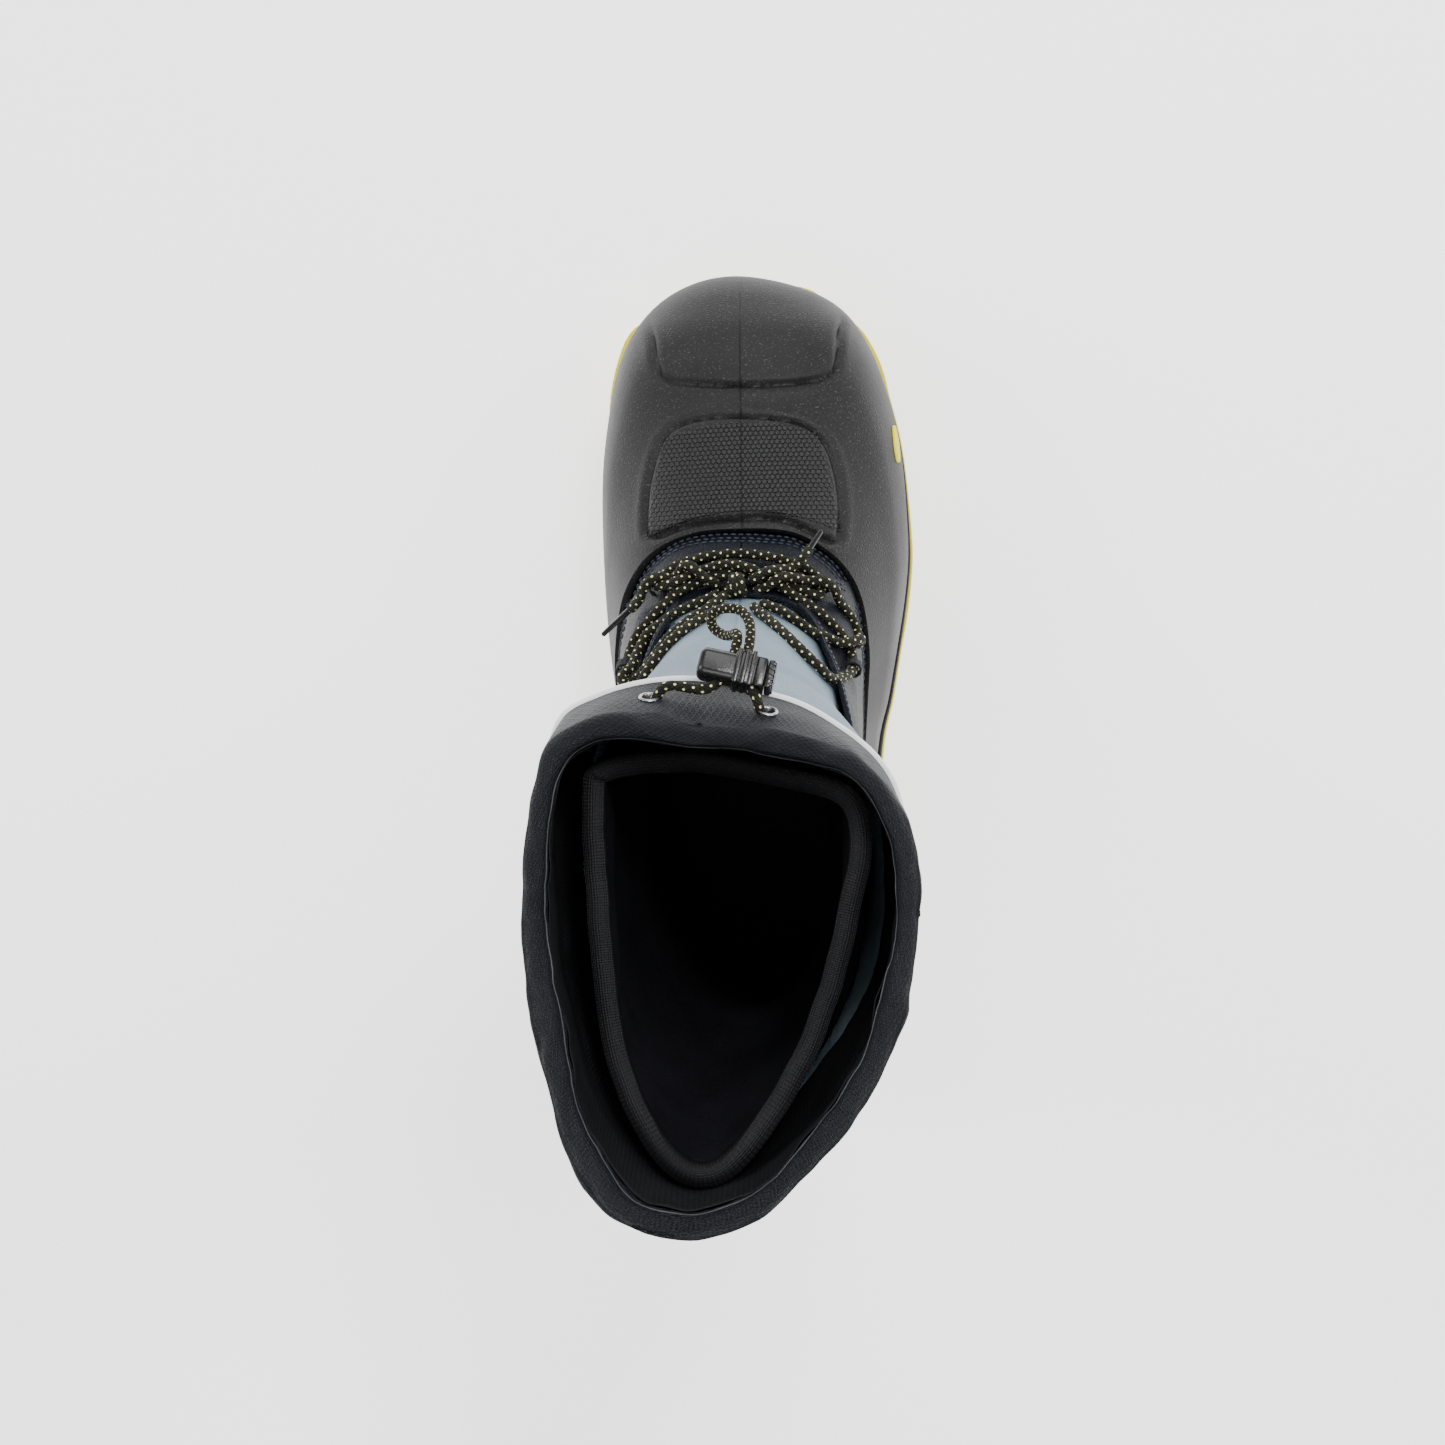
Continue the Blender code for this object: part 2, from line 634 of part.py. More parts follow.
def make_heel_counter():
    """A stiff cup between the shell's heel and the liner."""
    plastic = material("counter_plastic", (0.5, 0.5, 0.48), 0.5)
    cup = inset(shell_rings(), SHELL_WALL + GAP)
    rings = panel(cup[2:8], 45, 135)
    walled("heel_counter", rings, 1.3 * MM, plastic, closed=False)


# ---- cord lock --------------------------------------------------------------------------------


def lock_axes():
    """The lock's own X (towards the button), Y (up off the cords) and Z (along the cords)."""
    forward = Vector((-LOCK_LONG.y, LOCK_LONG.x, 0))
    cords = forward * math.cos(LOCK_DROOP) + Vector((0, 0, -math.sin(LOCK_DROOP)))
    return LOCK_LONG, cords.cross(LOCK_LONG), cords


def lock_matrix():
    x, y, z = lock_axes()
    turn = Matrix((x, y, z)).transposed().to_4x4()
    return Matrix.Translation(LOCK_CENTRE) @ turn


def in_lock(x, y, z):
    """A point given in the lock's own axes, in metres."""
    return lock_matrix() @ Vector((x, y, z))


def lock_block(name, x, y, z, where="pac_boot"):
    """A box in the lock's own axes, from (low, high) pairs in millimetres."""
    spans = [Vector(pair) * MM for pair in (x, y, z)]
    size = [span[1] - span[0] for span in spans]
    centre = [(span[1] + span[0]) / 2 for span in spans]
    return block(name, size, centre, where, lock_matrix())


def make_lock():
    plastic = material("lock_plastic", (0.02, 0.02, 0.022), 0.3)
    mesh = bmesh.new()
    half = (LOCK_FRONT_X - LOCK_BACK_X) / 2
    outline = round_pill(half, LOCK_HALF_HEIGHT, 8)
    face = mesh.faces.new([mesh.verts.new((x, y, -LOCK_HALF_DEPTH)) for x, y in outline])
    drawn = bmesh.ops.extrude_face_region(mesh, geom=[face])
    moved = [v for v in drawn["geom"] if isinstance(v, bmesh.types.BMVert)]
    bmesh.ops.translate(mesh, vec=(0, 0, 2 * LOCK_HALF_DEPTH), verts=moved)
    bmesh.ops.translate(mesh, vec=((LOCK_FRONT_X + LOCK_BACK_X) / 2, 0, 0), verts=mesh.verts)
    bmesh.ops.transform(mesh, matrix=lock_matrix(), verts=mesh.verts)
    bmesh.ops.recalc_face_normals(mesh, faces=mesh.faces)
    body = finish(to_object(mesh, "cord_lock_body"), plastic)
    for name, x, y, z in (
        ("button_bore", (-10.2, 11), (-3, 3), (-3.5, 3.5)),
        ("spring_bore", (-12.2, -10), (-2.4, 2.4), (-2.4, 2.4)),
        ("button_mouth", (6.1, 11), (-3.7, 3.7), (-4.2, 4.2)),
        ("cord_slot", (-4.7, 4.7), (-2.4, 2.4), (-7, 7)),
    ):
        boolean(body, lock_block(name, x, y, z, "cutters"), "DIFFERENCE")
    for k, x in enumerate((-1.6, 0.8, 3.2)):
        rib = lock_block(f"rib_{k}", (x - 0.6, x + 0.6), (4.4, 5.5), (-5, 5), "cutters")
        boolean(body, rib, "UNION")
    make_button(plastic)
    make_spring()


def make_button(plastic):
    button = finish(lock_block("cord_lock_button", (-7.4, 9.5), (-2.6, 2.6), (-3.1, 3.1)), plastic)
    head = lock_block("button_head", (8.9, 12.8), (-3.3, 3.3), (-3.8, 3.8), "cutters")
    boolean(button, head, "UNION")
    slot = lock_block("button_slot", (-4.35, 7.2), (-2.3, 2.3), (-7, 7), "cutters")
    boolean(button, slot, "DIFFERENCE")


def make_spring():
    """A compression spring between the end of the button's bore and the button."""
    steel = material("spring_steel", (0.6, 0.6, 0.6), 0.3, 1.0)
    turns, per_turn, coil, wire = 3, 8, 1.9 * MM, 0.4 * MM
    start, end = -11.9 * MM, -7.7 * MM
    points = []
    for k in range(round(turns * per_turn) + 1):
        angle = 2 * math.pi * k / per_turn
        x = start + (end - start) * k / (turns * per_turn)
        points.append(in_lock(x, coil * math.cos(angle), coil * math.sin(angle)))
    curve = bpy.data.curves.new("cord_lock_spring", "CURVE")
    curve.dimensions = "3D"
    curve.bevel_depth = wire / 2
    curve.bevel_resolution = 1
    curve.use_fill_caps = True
    spline = curve.splines.new("POLY")
    spline.points.add(len(points) - 1)
    for place, point in zip(spline.points, points):
        place.co = (*point, 1)
    finish(link(bpy.data.objects.new("cord_lock_spring", curve)), steel)


# ---- laces and cords --------------------------------------------------------------------------


def outer_tree(*names):
    """The outer faces of the named pieces, for resting other pieces on them."""
    mesh = bmesh.new()
    for name in names:
        mesh.from_mesh(bpy.data.objects[name].data)
    tree = BVHTree.FromBMesh(mesh)
    mesh.free()
    return tree


def upper_tree():
    return outer_tree("vamp_medial", "vamp_lateral", "quarter_medial", "quarter_lateral",
                      "shaft_medial", "shaft_lateral", "shell")


def lay(route, diameter, placed, held=(), onward=()):
    """A cord along the route, eased to rest on the upper and on the cords already placed.

    Every entry of placed is a point and how far the cord's middle must stay from it. The lace is
    lifted at the held places, and runs on to the onward points clear of the upper.
    """
    tree = upper_tree()
    made = []
    outward = Vector((0, -1, 0))
    for x, y in smooth_line(route, 6):
        place, found, _, _ = tree.ray_cast(Vector((x, y, 200)) * MM, Vector((0, 0, -1)))
        if place is None or place.z < 0.1:
            place, found = made[-1], Vector((0, 0, 0))
        outward = found if found.z > 0 else -found
        made.append(place + outward * (diameter / 2 + 0.5 * MM))
    line = np.array(thinned([*made, *onward], 1.5 * MM))
    for _ in range(14):
        line[1:-1] = line[1:-1] * 0.4 + (line[:-2] + line[2:]) * 0.3
        for i in range(len(line)):
            lift = diameter / 2 + 0.5 * MM
            if held and any((Vector(line[i]) - place).length < 4 * MM for place in held):
                lift += 1.1 * MM
            line[i] = pushed(line[i], tree, others(line, i, diameter, placed), lift)
    return joined([Vector(point) for point in line], placed[0][0])


def joined(line, knot):
    """The cord with each end that lies near the knot carried on to the knot's surface."""
    for end, index in ((line[0], 0), (line[-1], len(line))):
        away = (end - knot).normalized()
        stretch = Vector([part / radius for part, radius in zip(away, KNOT_RADII)])
        reach = (1 / stretch.length + 1.8) * MM
        if reach + 1.2 * MM < (end - knot).length < 14.5 * MM:
            line.insert(index, knot + away * reach)
    return line


def others(line, i, diameter, placed):
    """What the cord's point must keep clear of, with the earlier turns of its own line."""
    own = [(point, diameter + 0.5 * MM) for point in line[: max(0, i - 8)]]
    return [*placed, *own]


def pushed(point, tree, nearby, lift):
    """The point moved up off the cords near it, and clear of the nearest piece of the upper."""
    point = Vector(point)
    for other, wanted in nearby:
        gap = point - Vector(other)
        if gap.length < wanted:
            point += (gap.normalized() + Vector((0, -0.7, 0.7))).normalized() * 0.4 * MM
    for _ in range(3):
        near, outward, _, gap = tree.find_nearest(point)
        away = (point - near).normalized()
        if away.dot(outward) < -0.5:
            away = outward
            gap = 0
        if gap < lift:
            point = near + away * lift
    return point


def thinned(line, spacing):
    """Points of a dense line at an even spacing, with both its ends."""
    grid = np.array(line)
    along = np.concatenate([[0], np.cumsum(np.linalg.norm(np.diff(grid, axis=0), axis=1))])
    places = np.linspace(0, along[-1], max(2, round(along[-1] / spacing) + 1))
    return [Vector([np.interp(p, along, grid[:, k]) for k in range(3)]) for p in places]


def eased(points, passes=10):
    """A line through the points with its corners rounded off and its ends left in place."""
    line = np.array(thinned(points, 1.2 * MM))
    for _ in range(passes):
        line[2:-2] = line[2:-2] * 0.4 + (line[1:-3] + line[3:-1]) * 0.3
    return line


def make_laces():
    black = material("lace_cord", (0.03, 0.03, 0.02), 0.8)
    glossy = material("aglet_plastic", (0.01, 0.01, 0.01), 0.2)
    knot = make_knot(black)
    placed = [(knot, 7.1 * MM)]
    held = [Vector(place) * MM for place in KEEPER_PLACES.values()]
    for name, route in (
        ("lace_rows", LACE_ROUTE),
        ("lace_bow_lateral", BOW_LATERAL),
        ("lace_bow_medial", BOW_MEDIAL),
        ("lace_tail_medial", TAIL_MEDIAL),
        ("lace_tail_lateral", TAIL_LATERAL),
    ):
        side = name.split("_")[-1]
        onward = []
        if "tail" in name:
            end, tip = Vector(TAIL_ENDS[side]) * MM, Vector(AGLET_ENDS[side]) * MM
            onward = [end, end + (tip - end).normalized() * 4 * MM]
        line = lay(route, LACE, placed, held if name == "lace_rows" else (), onward)
        tube(name, line, LACE, black, smooth=False)
        placed += [(point, LACE + 0.5 * MM) for point in thinned(line, 1.5 * MM)]
        if name == "lace_rows":
            placed += [(place, 6.1 * MM) for place in make_keepers(line)]
        if onward:
            away = (line[-1] - line[-2]).normalized()
            start = line[-1] + away * GAP
            tube(f"aglet_{side}", [start, start + away * AGLET_LENGTH * MM],
                 AGLET_WIDTH * MM, glossy, sides=10)


def make_keepers(line):
    """Webbing loops that hold the lace against the leather at both sides of the throat."""
    webbing = material("keeper_webbing", (0.02, 0.02, 0.022), 0.8)
    tree = upper_tree()
    bore, wall, width = LACE / 2 + 0.7 * MM, 0.8 * MM, 3.6 * MM
    middles = []
    for name, place in KEEPER_PLACES.items():
        where = Vector(place) * MM
        index = min(range(2, len(line) - 2), key=lambda i: (line[i] - where).length)
        along = (line[index + 2] - line[index - 2]).normalized()
        near, _, _, _ = tree.find_nearest(line[index])
        outward = line[index] - near
        outward = (outward - along * outward.dot(along)).normalized()
        turn = Matrix((outward.cross(along), -outward, -along)).transposed()
        where = Matrix.Translation(line[index]) @ turn.to_4x4()
        arc = [math.radians(-48 + 276 * k / 8 + 180) for k in range(9)]
        outer = [(math.cos(a) * (bore + wall), math.sin(a) * (bore + wall)) for a in arc]
        inner = [(math.cos(a) * bore, math.sin(a) * bore) for a in arc]
        mesh = bmesh.new()
        corners = [mesh.verts.new((u, v, -width / 2)) for u, v in (*outer, *inner[::-1])]
        face = mesh.faces.new(corners)
        drawn = bmesh.ops.extrude_face_region(mesh, geom=[face])
        moved = [v for v in drawn["geom"] if isinstance(v, bmesh.types.BMVert)]
        bmesh.ops.translate(mesh, vec=(0, 0, width), verts=moved)
        bmesh.ops.transform(mesh, matrix=where, verts=mesh.verts)
        bmesh.ops.recalc_face_normals(mesh, faces=mesh.faces)
        finish(to_object(mesh, f"keeper_{name}"), webbing)
        middles.append(line[index])
    return middles


def make_knot(black):
    """The middle of the bow, where the two halves are tied round each other."""
    tree = outer_tree("shaft_medial", "shaft_lateral")
    above = Vector((*KNOT_PLACE, 200)) * MM
    place, outward, _, _ = tree.ray_cast(above, Vector((0, 0, -1)))
    outward = outward if outward.y < 0 else -outward
    centre = place + outward * 5.2 * MM
    mesh = bmesh.new()
    bmesh.ops.create_uvsphere(mesh, u_segments=12, v_segments=8, radius=1)
    bmesh.ops.scale(mesh, vec=Vector(KNOT_RADII) * MM, verts=mesh.verts)
    bmesh.ops.translate(mesh, vec=centre, verts=mesh.verts)
    finish(to_object(mesh, "lace_knot"), black)
    return centre


def make_drawcord():
    black = material("lace_cord", (0.03, 0.03, 0.02), 0.8)
    medial, lateral = (eyelet_place(side) for side in ("medial", "lateral"))
    hem = ring(RIM_RING, RIM_CENTRE, shrink=4.1 * MM, lift=-4.6 * MM)
    turn = [Vector(point) for point in hem[columns_between(-68, 253)]]
    half = LOCK_HALF_DEPTH
    back, front = -half - 2.4 * MM, half + 8 * MM
    channel = [
        in_lock(-STRAND_OFFSET, 0, -0.5 * MM), in_lock(-STRAND_OFFSET, 0, back),
        Vector((8, -1.8, 304.5)) * MM, *(medial[0] + medial[1] * k * MM for k in (5, -6)), *turn,
        *(lateral[0] + lateral[1] * k * MM for k in (-6, 5)),
        in_lock(STRAND_OFFSET, 0, back), in_lock(STRAND_OFFSET, 0, -0.5 * MM),
    ]
    tube("drawcord", eased(channel, 4), DRAWCORD, black, smooth=False)
    loop = [in_lock(STRAND_OFFSET, 0, 0.1 * MM), in_lock(STRAND_OFFSET, 0, front)]
    loop += [Vector(point) * MM for point in CORD_LOOP]
    loop += [in_lock(-STRAND_OFFSET, 0, front), in_lock(-STRAND_OFFSET, 0, 0.1 * MM)]
    tube("drawcord_loop", eased(loop, 4), DRAWCORD, black, smooth=False)


def main():
    clear_scene()
    make_sole()
    make_shell()
    make_accents()
    make_leather()
    make_shaft()
    make_piping()
    make_collar()
    make_liner()
    make_footbed()
    make_heel_counter()
    make_lock()
    make_eyelets()
    make_drawcord()
    make_laces()


main()
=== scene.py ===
"""The finished look of a winter pac boot for the right foot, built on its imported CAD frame.

The toe points to -Y and the lateral (outer) side to -X. The sections go from the ground up.
"""

import math

import bmesh
import bpy
import numpy as np
from mathutils import Matrix, Vector, noise


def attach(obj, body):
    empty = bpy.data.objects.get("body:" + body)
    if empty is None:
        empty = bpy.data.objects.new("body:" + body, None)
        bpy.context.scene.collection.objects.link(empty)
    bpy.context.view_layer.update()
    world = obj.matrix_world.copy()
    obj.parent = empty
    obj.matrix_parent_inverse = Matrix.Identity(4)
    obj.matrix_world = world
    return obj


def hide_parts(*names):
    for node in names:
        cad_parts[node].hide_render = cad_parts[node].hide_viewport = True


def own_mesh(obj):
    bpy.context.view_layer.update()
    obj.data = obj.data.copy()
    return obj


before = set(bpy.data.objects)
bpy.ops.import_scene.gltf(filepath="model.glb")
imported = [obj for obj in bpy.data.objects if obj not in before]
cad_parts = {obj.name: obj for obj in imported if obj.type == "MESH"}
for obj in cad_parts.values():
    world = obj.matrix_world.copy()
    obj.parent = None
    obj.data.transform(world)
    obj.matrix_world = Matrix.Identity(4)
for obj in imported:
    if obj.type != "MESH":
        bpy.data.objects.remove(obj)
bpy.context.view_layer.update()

# ---- tread -------------------------------------------------------------------------------------
# The tread is one moulding of black rubber, with lugs that bite into snow. It is bonded under the
# yellow layer. The rubber is matt, with a fine mottle and painted highlights on high spots.

MM = 0.001
ROUGH_SPREAD = 0.3  # how far the mottle takes the roughness from its smoothest to its roughest


class Value:
    """A number or colour that varies over a surface. Sums of numbers become maths nodes."""

    def __init__(self, socket):
        self.socket = socket
        self.tree = socket.id_data

    def __add__(self, other):
        return maths("ADD", self, other)

    def __sub__(self, other):
        return maths("SUBTRACT", self, other)

    def __rsub__(self, other):
        return maths("SUBTRACT", other, self)

    def __mul__(self, other):
        return maths("MULTIPLY", self, other)

    def __truediv__(self, other):
        return maths("DIVIDE", self, other)

    def stepped(self, low, high):
        """0 below low and 1 above high, with a smooth rise between them."""
        node = self.tree.nodes.new("ShaderNodeMapRange")
        node.interpolation_type = "SMOOTHSTEP"
        for label, value in (("From Min", low), ("From Max", high), ("Value", self)):
            feed(value, node.inputs[label])
        return Value(node.outputs["Result"])


def feed(value, socket):
    """Links a value to a socket, or sets the socket to a plain number or colour."""
    if isinstance(value, Value):
        value.tree.links.new(value.socket, socket)
    else:
        socket.default_value = value if isinstance(value, (int, float)) else (*value, 1)


def maths(operation, *values):
    """The output of one maths node, fed by values or plain numbers."""
    tree = next(value.tree for value in values if isinstance(value, Value))
    node = tree.nodes.new("ShaderNodeMath")
    node.operation = operation
    for value, socket in zip(values, node.inputs):
        feed(value, socket)
    return Value(node.outputs[0])


def mixed(mask, first, second):
    """One of two colours at each place, by the mask."""
    node = mask.tree.nodes.new("ShaderNodeMix")
    node.data_type = "RGBA"
    for value, socket in ((mask, node.inputs["Factor"]), (first, node.inputs[6]),
                          (second, node.inputs[7])):
        feed(value, socket)
    return Value(node.outputs[2])


def node_at(where, kind, group=None, **settings):
    """A texture node, or a node of a shared group, that reads the given places."""
    node = where.tree.nodes.new(f"ShaderNode{kind}")
    if group:
        node.node_tree = group
    for label, value in (("Vector", where), *settings.items()):
        feed(value, node.inputs[label])
    return node


def shader_group(name, inputs, outputs):
    """An empty node group with named sockets, the values it is given, and its output sockets."""
    tree = bpy.data.node_groups.new(name, "ShaderNodeTree")
    for way, sockets in (("INPUT", inputs), ("OUTPUT", outputs)):
        for label, kind in sockets.items():
            tree.interface.new_socket(name=label, in_out=way, socket_type=f"NodeSocket{kind}")
    given = tree.nodes.new("NodeGroupInput").outputs
    return (tree, {label: Value(given[label]) for label in inputs},
            tree.nodes.new("NodeGroupOutput").inputs)


def make_mottle():
    """Uneven colour in soft clouds, and specks of painted highlight on the grain's high points."""
    tree, given, made = shader_group(
        "mottle", {"Vector": "Vector", "Clouds": "Float", "Specks": "Float", "Dark": "Color",
                   "Light": "Color", "Fleck": "Color"},
        {"Color": "Color", "Rough": "Float", "Height": "Float"})
    clouds, specks = (
        Value(node_at(given["Vector"], "TexNoise", Scale=given[label], Detail=detail).outputs[0])
        for label, detail in (("Clouds", 4), ("Specks", 2)))
    body = mixed(clouds.stepped(0.35, 0.68), given["Dark"], given["Light"])
    # Specks sit on the grain's high points: painted highlights, where the fleck colour is lighter.
    feed(mixed(specks.stepped(0.6, 0.72), body, given["Fleck"]), made["Color"])
    feed(clouds * ROUGH_SPREAD, made["Rough"])
    feed(specks, made["Height"])
    return tree


MOTTLE = make_mottle()


def coordinates(made, kind):
    """The Object or UV coordinates in a material."""
    return Value(made.node_tree.nodes.new("ShaderNodeTexCoord").outputs[kind])


def mottled(name, dark, light, fleck, clouds, specks, rough, bump, metallic=0.0, gloss=0.25):
    """A material with mottled colour and gloss over a fine grain."""
    made = bpy.data.materials.new(name)
    made.use_nodes = True
    shader = made.node_tree.nodes["Principled BSDF"]
    grain = node_at(coordinates(made, "Object"), "Group", MOTTLE, Clouds=clouds, Specks=specks,
                    Dark=dark, Light=light, Fleck=fleck).outputs
    for label, value in (("Metallic", metallic), ("Specular IOR Level", gloss),
                         ("Base Color", Value(grain["Color"])),
                         ("Roughness", Value(grain["Rough"]) + (rough - ROUGH_SPREAD / 2))):
        feed(value, shader.inputs[label])
    relief(made, Value(grain["Height"]), bump)
    return made


def relief(made, height, depth):
    """Adds a bump of the given height to the material, over any that it has already."""
    tree = made.node_tree
    normal = tree.nodes["Principled BSDF"].inputs["Normal"]
    bump = tree.nodes.new("ShaderNodeBump")
    feed(depth, bump.inputs["Distance"])
    feed(height, bump.inputs["Height"])
    if normal.is_linked:
        tree.links.new(normal.links[0].from_socket, bump.inputs["Normal"])
    tree.links.new(bump.outputs[0], normal)


def dressed(node, made):
    """Gives a CAD piece its finish and leaves its shape alone."""
    for place in bpy.data.objects[node].material_slots:
        place.link = "OBJECT"
        place.material = made


BLACK_RUBBER = mottled("black_rubber", (0.006, 0.006, 0.0065), (0.014, 0.014, 0.015),
                       (0.04, 0.04, 0.04), 60, 1500, 0.62, 0.0002)
dressed("tread", BLACK_RUBBER)

# ---- shell outlines and the sole's side walls ---------------------------------------------------
# The yellow layer and the black rand are foamed rubber mouldings stacked between the tread and the
# shell. Their rounded edges run right round the boot, with a moulded groove between them.

TOE = -90  # the toe's angle in degrees round a ring
TOE_CROWDING = 0.5
COLUMNS = 360
SOLE_COLUMNS = 240
SHELL_CENTRE = (0, 20)
SHELL_OUTLINE = [
    (2, -177, 45), (30, -170, 45), (49, -149, 45), (58, -115, 45), (61, -80, 45), (59.5, -28, 45),
    (53, 20, 45), (45, 80, 45), (39, 115, 45), (23, 141, 45), (-1, 150, 45), (-25, 141, 45),
    (-40, 113, 45), (-44, 75, 45), (-49, 22, 45), (-55, -3, 45), (-63, -44, 45), (-64.8, -70, 45),
    (-62, -110, 45), (-51, -147, 45), (-33, -167, 45),
]


def thetas(columns):
    """Angles round a ring, anticlockwise from +X, closer together at the toe (-90 degrees)."""
    steps = np.arange(columns + 1) * 2 * math.pi / columns
    return steps - TOE_CROWDING * np.cos(steps)


def curved(a, b, c, d, t):
    """Places from b to c on the Catmull-Rom curve through a, b, c and d."""
    return 0.5 * (2 * b + (c - a) * t + (2 * a - 5 * b + 4 * c - d) * t**2
                  + (3 * b - a - 3 * c + d) * t**3)


def smooth_line(points, per_span, closed=False):
    """Points along a Catmull-Rom curve through the given ones."""
    points = np.array(points, float)
    count = len(points)
    if not closed:
        points = np.vstack([2 * points[0] - points[1], points, 2 * points[-1] - points[-2]])
    made = []
    for i in range(count if closed else count - 1):
        if closed:
            a, b, c, d = (points[(i + k - 1) % count] for k in range(4))
        else:
            a, b, c, d = points[i : i + 4]
        made.append(curved(a, b, c, d, (np.arange(per_span) / per_span)[:, None]))
    if not closed:
        made.append(points[-2:-1])
    return np.vstack(made)


def ring(points, centre, columns=COLUMNS, shrink=0.0, lift=0.0, height=None):
    """The closed curve through the points, in metres, read at the shared angles."""
    line = smooth_line(points, 24, closed=True) * MM
    cx, cy = centre[0] * MM, centre[1] * MM
    angle = np.arctan2(line[:, 1] - cy, line[:, 0] - cx)
    reach = np.hypot(line[:, 0] - cx, line[:, 1] - cy)
    theta = thetas(columns)
    radius = np.interp(theta, angle, reach, period=2 * math.pi) - shrink
    z = np.interp(theta, angle, line[:, 2], period=2 * math.pi) + lift
    if height is not None:
        z = np.full_like(theta, height)
    return np.stack([cx + radius * np.cos(theta), cy + radius * np.sin(theta), z], axis=1)


def skin(grid, closed=True):
    """A mesh through a grid of places, with a UV map that is in metres along both ways."""
    grid = np.array(grid)
    rows, columns = grid.shape[0] - 1, grid.shape[1] - 1
    mesh = bmesh.new()
    uv = mesh.loops.layers.uv.new("UVMap")
    bmesh.ops.create_grid(mesh, x_segments=columns, y_segments=rows, size=0.5, calc_uvs=True)
    for corner, place in zip(mesh.verts, grid.reshape(-1, 3)):
        corner.co = place
    girth = np.linalg.norm(np.diff(grid, axis=1), axis=2).sum(axis=1).mean()
    height = np.linalg.norm(np.diff(grid, axis=0), axis=2).sum(axis=0).mean()
    for face in mesh.faces:
        for loop in face.loops:
            loop[uv].uv = (loop[uv].uv[0] * girth, loop[uv].uv[1] * height)
    if closed:
        bmesh.ops.remove_doubles(mesh, verts=mesh.verts, dist=0.001 * MM)
    return mesh


def closed_off(mesh):
    """Fills the open ends of a mesh."""
    bmesh.ops.holes_fill(mesh, edges=[e for e in mesh.edges if e.is_boundary], sides=0)
    return mesh


def piece(name, mesh, made, nodes=None, body="boot", wall=None, sharp=50):
    """Turns a mesh into a piece that takes the place of CAD nodes and moves with a body."""
    data = bpy.data.meshes.new(name)
    mesh.to_mesh(data)
    mesh.free()
    item = bpy.data.objects.new(f"finished_{name}", data)
    bpy.context.scene.collection.objects.link(item)
    data.materials.append(made)
    data.shade_smooth()
    data.set_sharp_from_angle(angle=math.radians(sharp))
    if wall:
        thickness = item.modifiers.new("wall", "SOLIDIFY")
        thickness.thickness = wall
        thickness.offset = -1
    if nodes:
        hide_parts(*nodes)
    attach(item, body)
    return item


def layer(name, profile, made, bulges=()):
    """One moulded layer of the sole, from its (growth, height) profile in millimetres.

    Every bulge is an angle, a half width in degrees and how far it stands out in millimetres.
    """
    theta = np.degrees(thetas(SOLE_COLUMNS))
    extra = sum((out * np.exp(-((((theta - angle + 180) % 360 - 180) / wide) ** 4))
                 for angle, wide, out in bulges), np.zeros(SOLE_COLUMNS + 1))
    rows = [ring(SHELL_OUTLINE, SHELL_CENTRE, SOLE_COLUMNS, shrink=-(grow + extra) * MM,
                 height=z * MM) for grow, z in profile]
    return piece(name, closed_off(skin(rows)), made, [name], sharp=35)


YELLOW_RUBBER = mottled("yellow_rubber", (0.74, 0.62, 0.0), (0.86, 0.74, 0.005),
                        (0.6, 0.5, 0.005), 40, 1200, 0.5, 0.0001)
layer("sole_layer", [(0.6, 7.35), (1.6, 7.6), (2.0, 8.4), (2.1, 9.7), (2.0, 11), (1.6, 11.8),
                     (0.6, 12)], YELLOW_RUBBER,
      bulges=[(-71.5, 5.5, 8.0), (-97.5, 2.2, 3.2), (-107.5, 3.5, 2.2), (-133, 10, 0.8)])
layer("midsole_rand", [(-0.4, 12.35), (1, 12.5), (1.3, 13.2), (1.25, 15.2), (0.6, 15.7),
                       (1.15, 16.2), (1.1, 19.2), (0.6, 19.9), (-0.6, 20)],
      BLACK_RUBBER)

# ---- shank --------------------------------------------------------------------------------------
# A flat bar of nylon filled with glass fibre lies in a pocket under the heel and arch, and keeps
# the sole from folding there.

SHANK_NYLON = mottled("shank_nylon", (0.22, 0.22, 0.22), (0.34, 0.34, 0.34),
                      (0.5, 0.5, 0.5), 80, 900, 0.5, 0.00005)
dressed("shank", SHANK_NYLON)

# ---- shell --------------------------------------------------------------------------------------
# The moulded lower is one piece of dark grey foamed rubber. It has a raised toe cap, a panel of
# fine hexagons over the forefoot, grooves at the toe's sides, and a parting line from its mould.

SHELL_WALL = 3.2 * MM
SHELL_BASE = 20.35 * MM
SHELL_EDGE = [
    (0, -67, 118), (20, -66, 115.5), (37, -59, 109), (48, -45, 102), (53, -26, 95), (54, -5, 89),
    (49.5, 40, 85), (42, 85, 89), (28, 118, 96), (0, 131, 100), (-28, 118, 96), (-41, 80, 89),
    (-44, 30, 85), (-46.5, 1, 88), (-48, -18, 93), (-46, -38, 100), (-40, -51, 106),
    (-30, -60, 112), (-18, -65.5, 116),
]


def wall_profile():
    """(share of the way in, share of the way up) from the widest line to the edge."""
    quick_rise, turn = 0.36, 0.3
    made = []
    for degrees in (22, 45, 68, 90):
        across = turn * (1 - math.cos(math.radians(degrees)))
        rise = quick_rise * math.sin(math.radians(degrees)) + (1 - quick_rise) * across
        made.append((across, rise))
    for across in (0.5, 0.75, 1.0):
        made.append((across, quick_rise + (1 - quick_rise) * across))
    return made


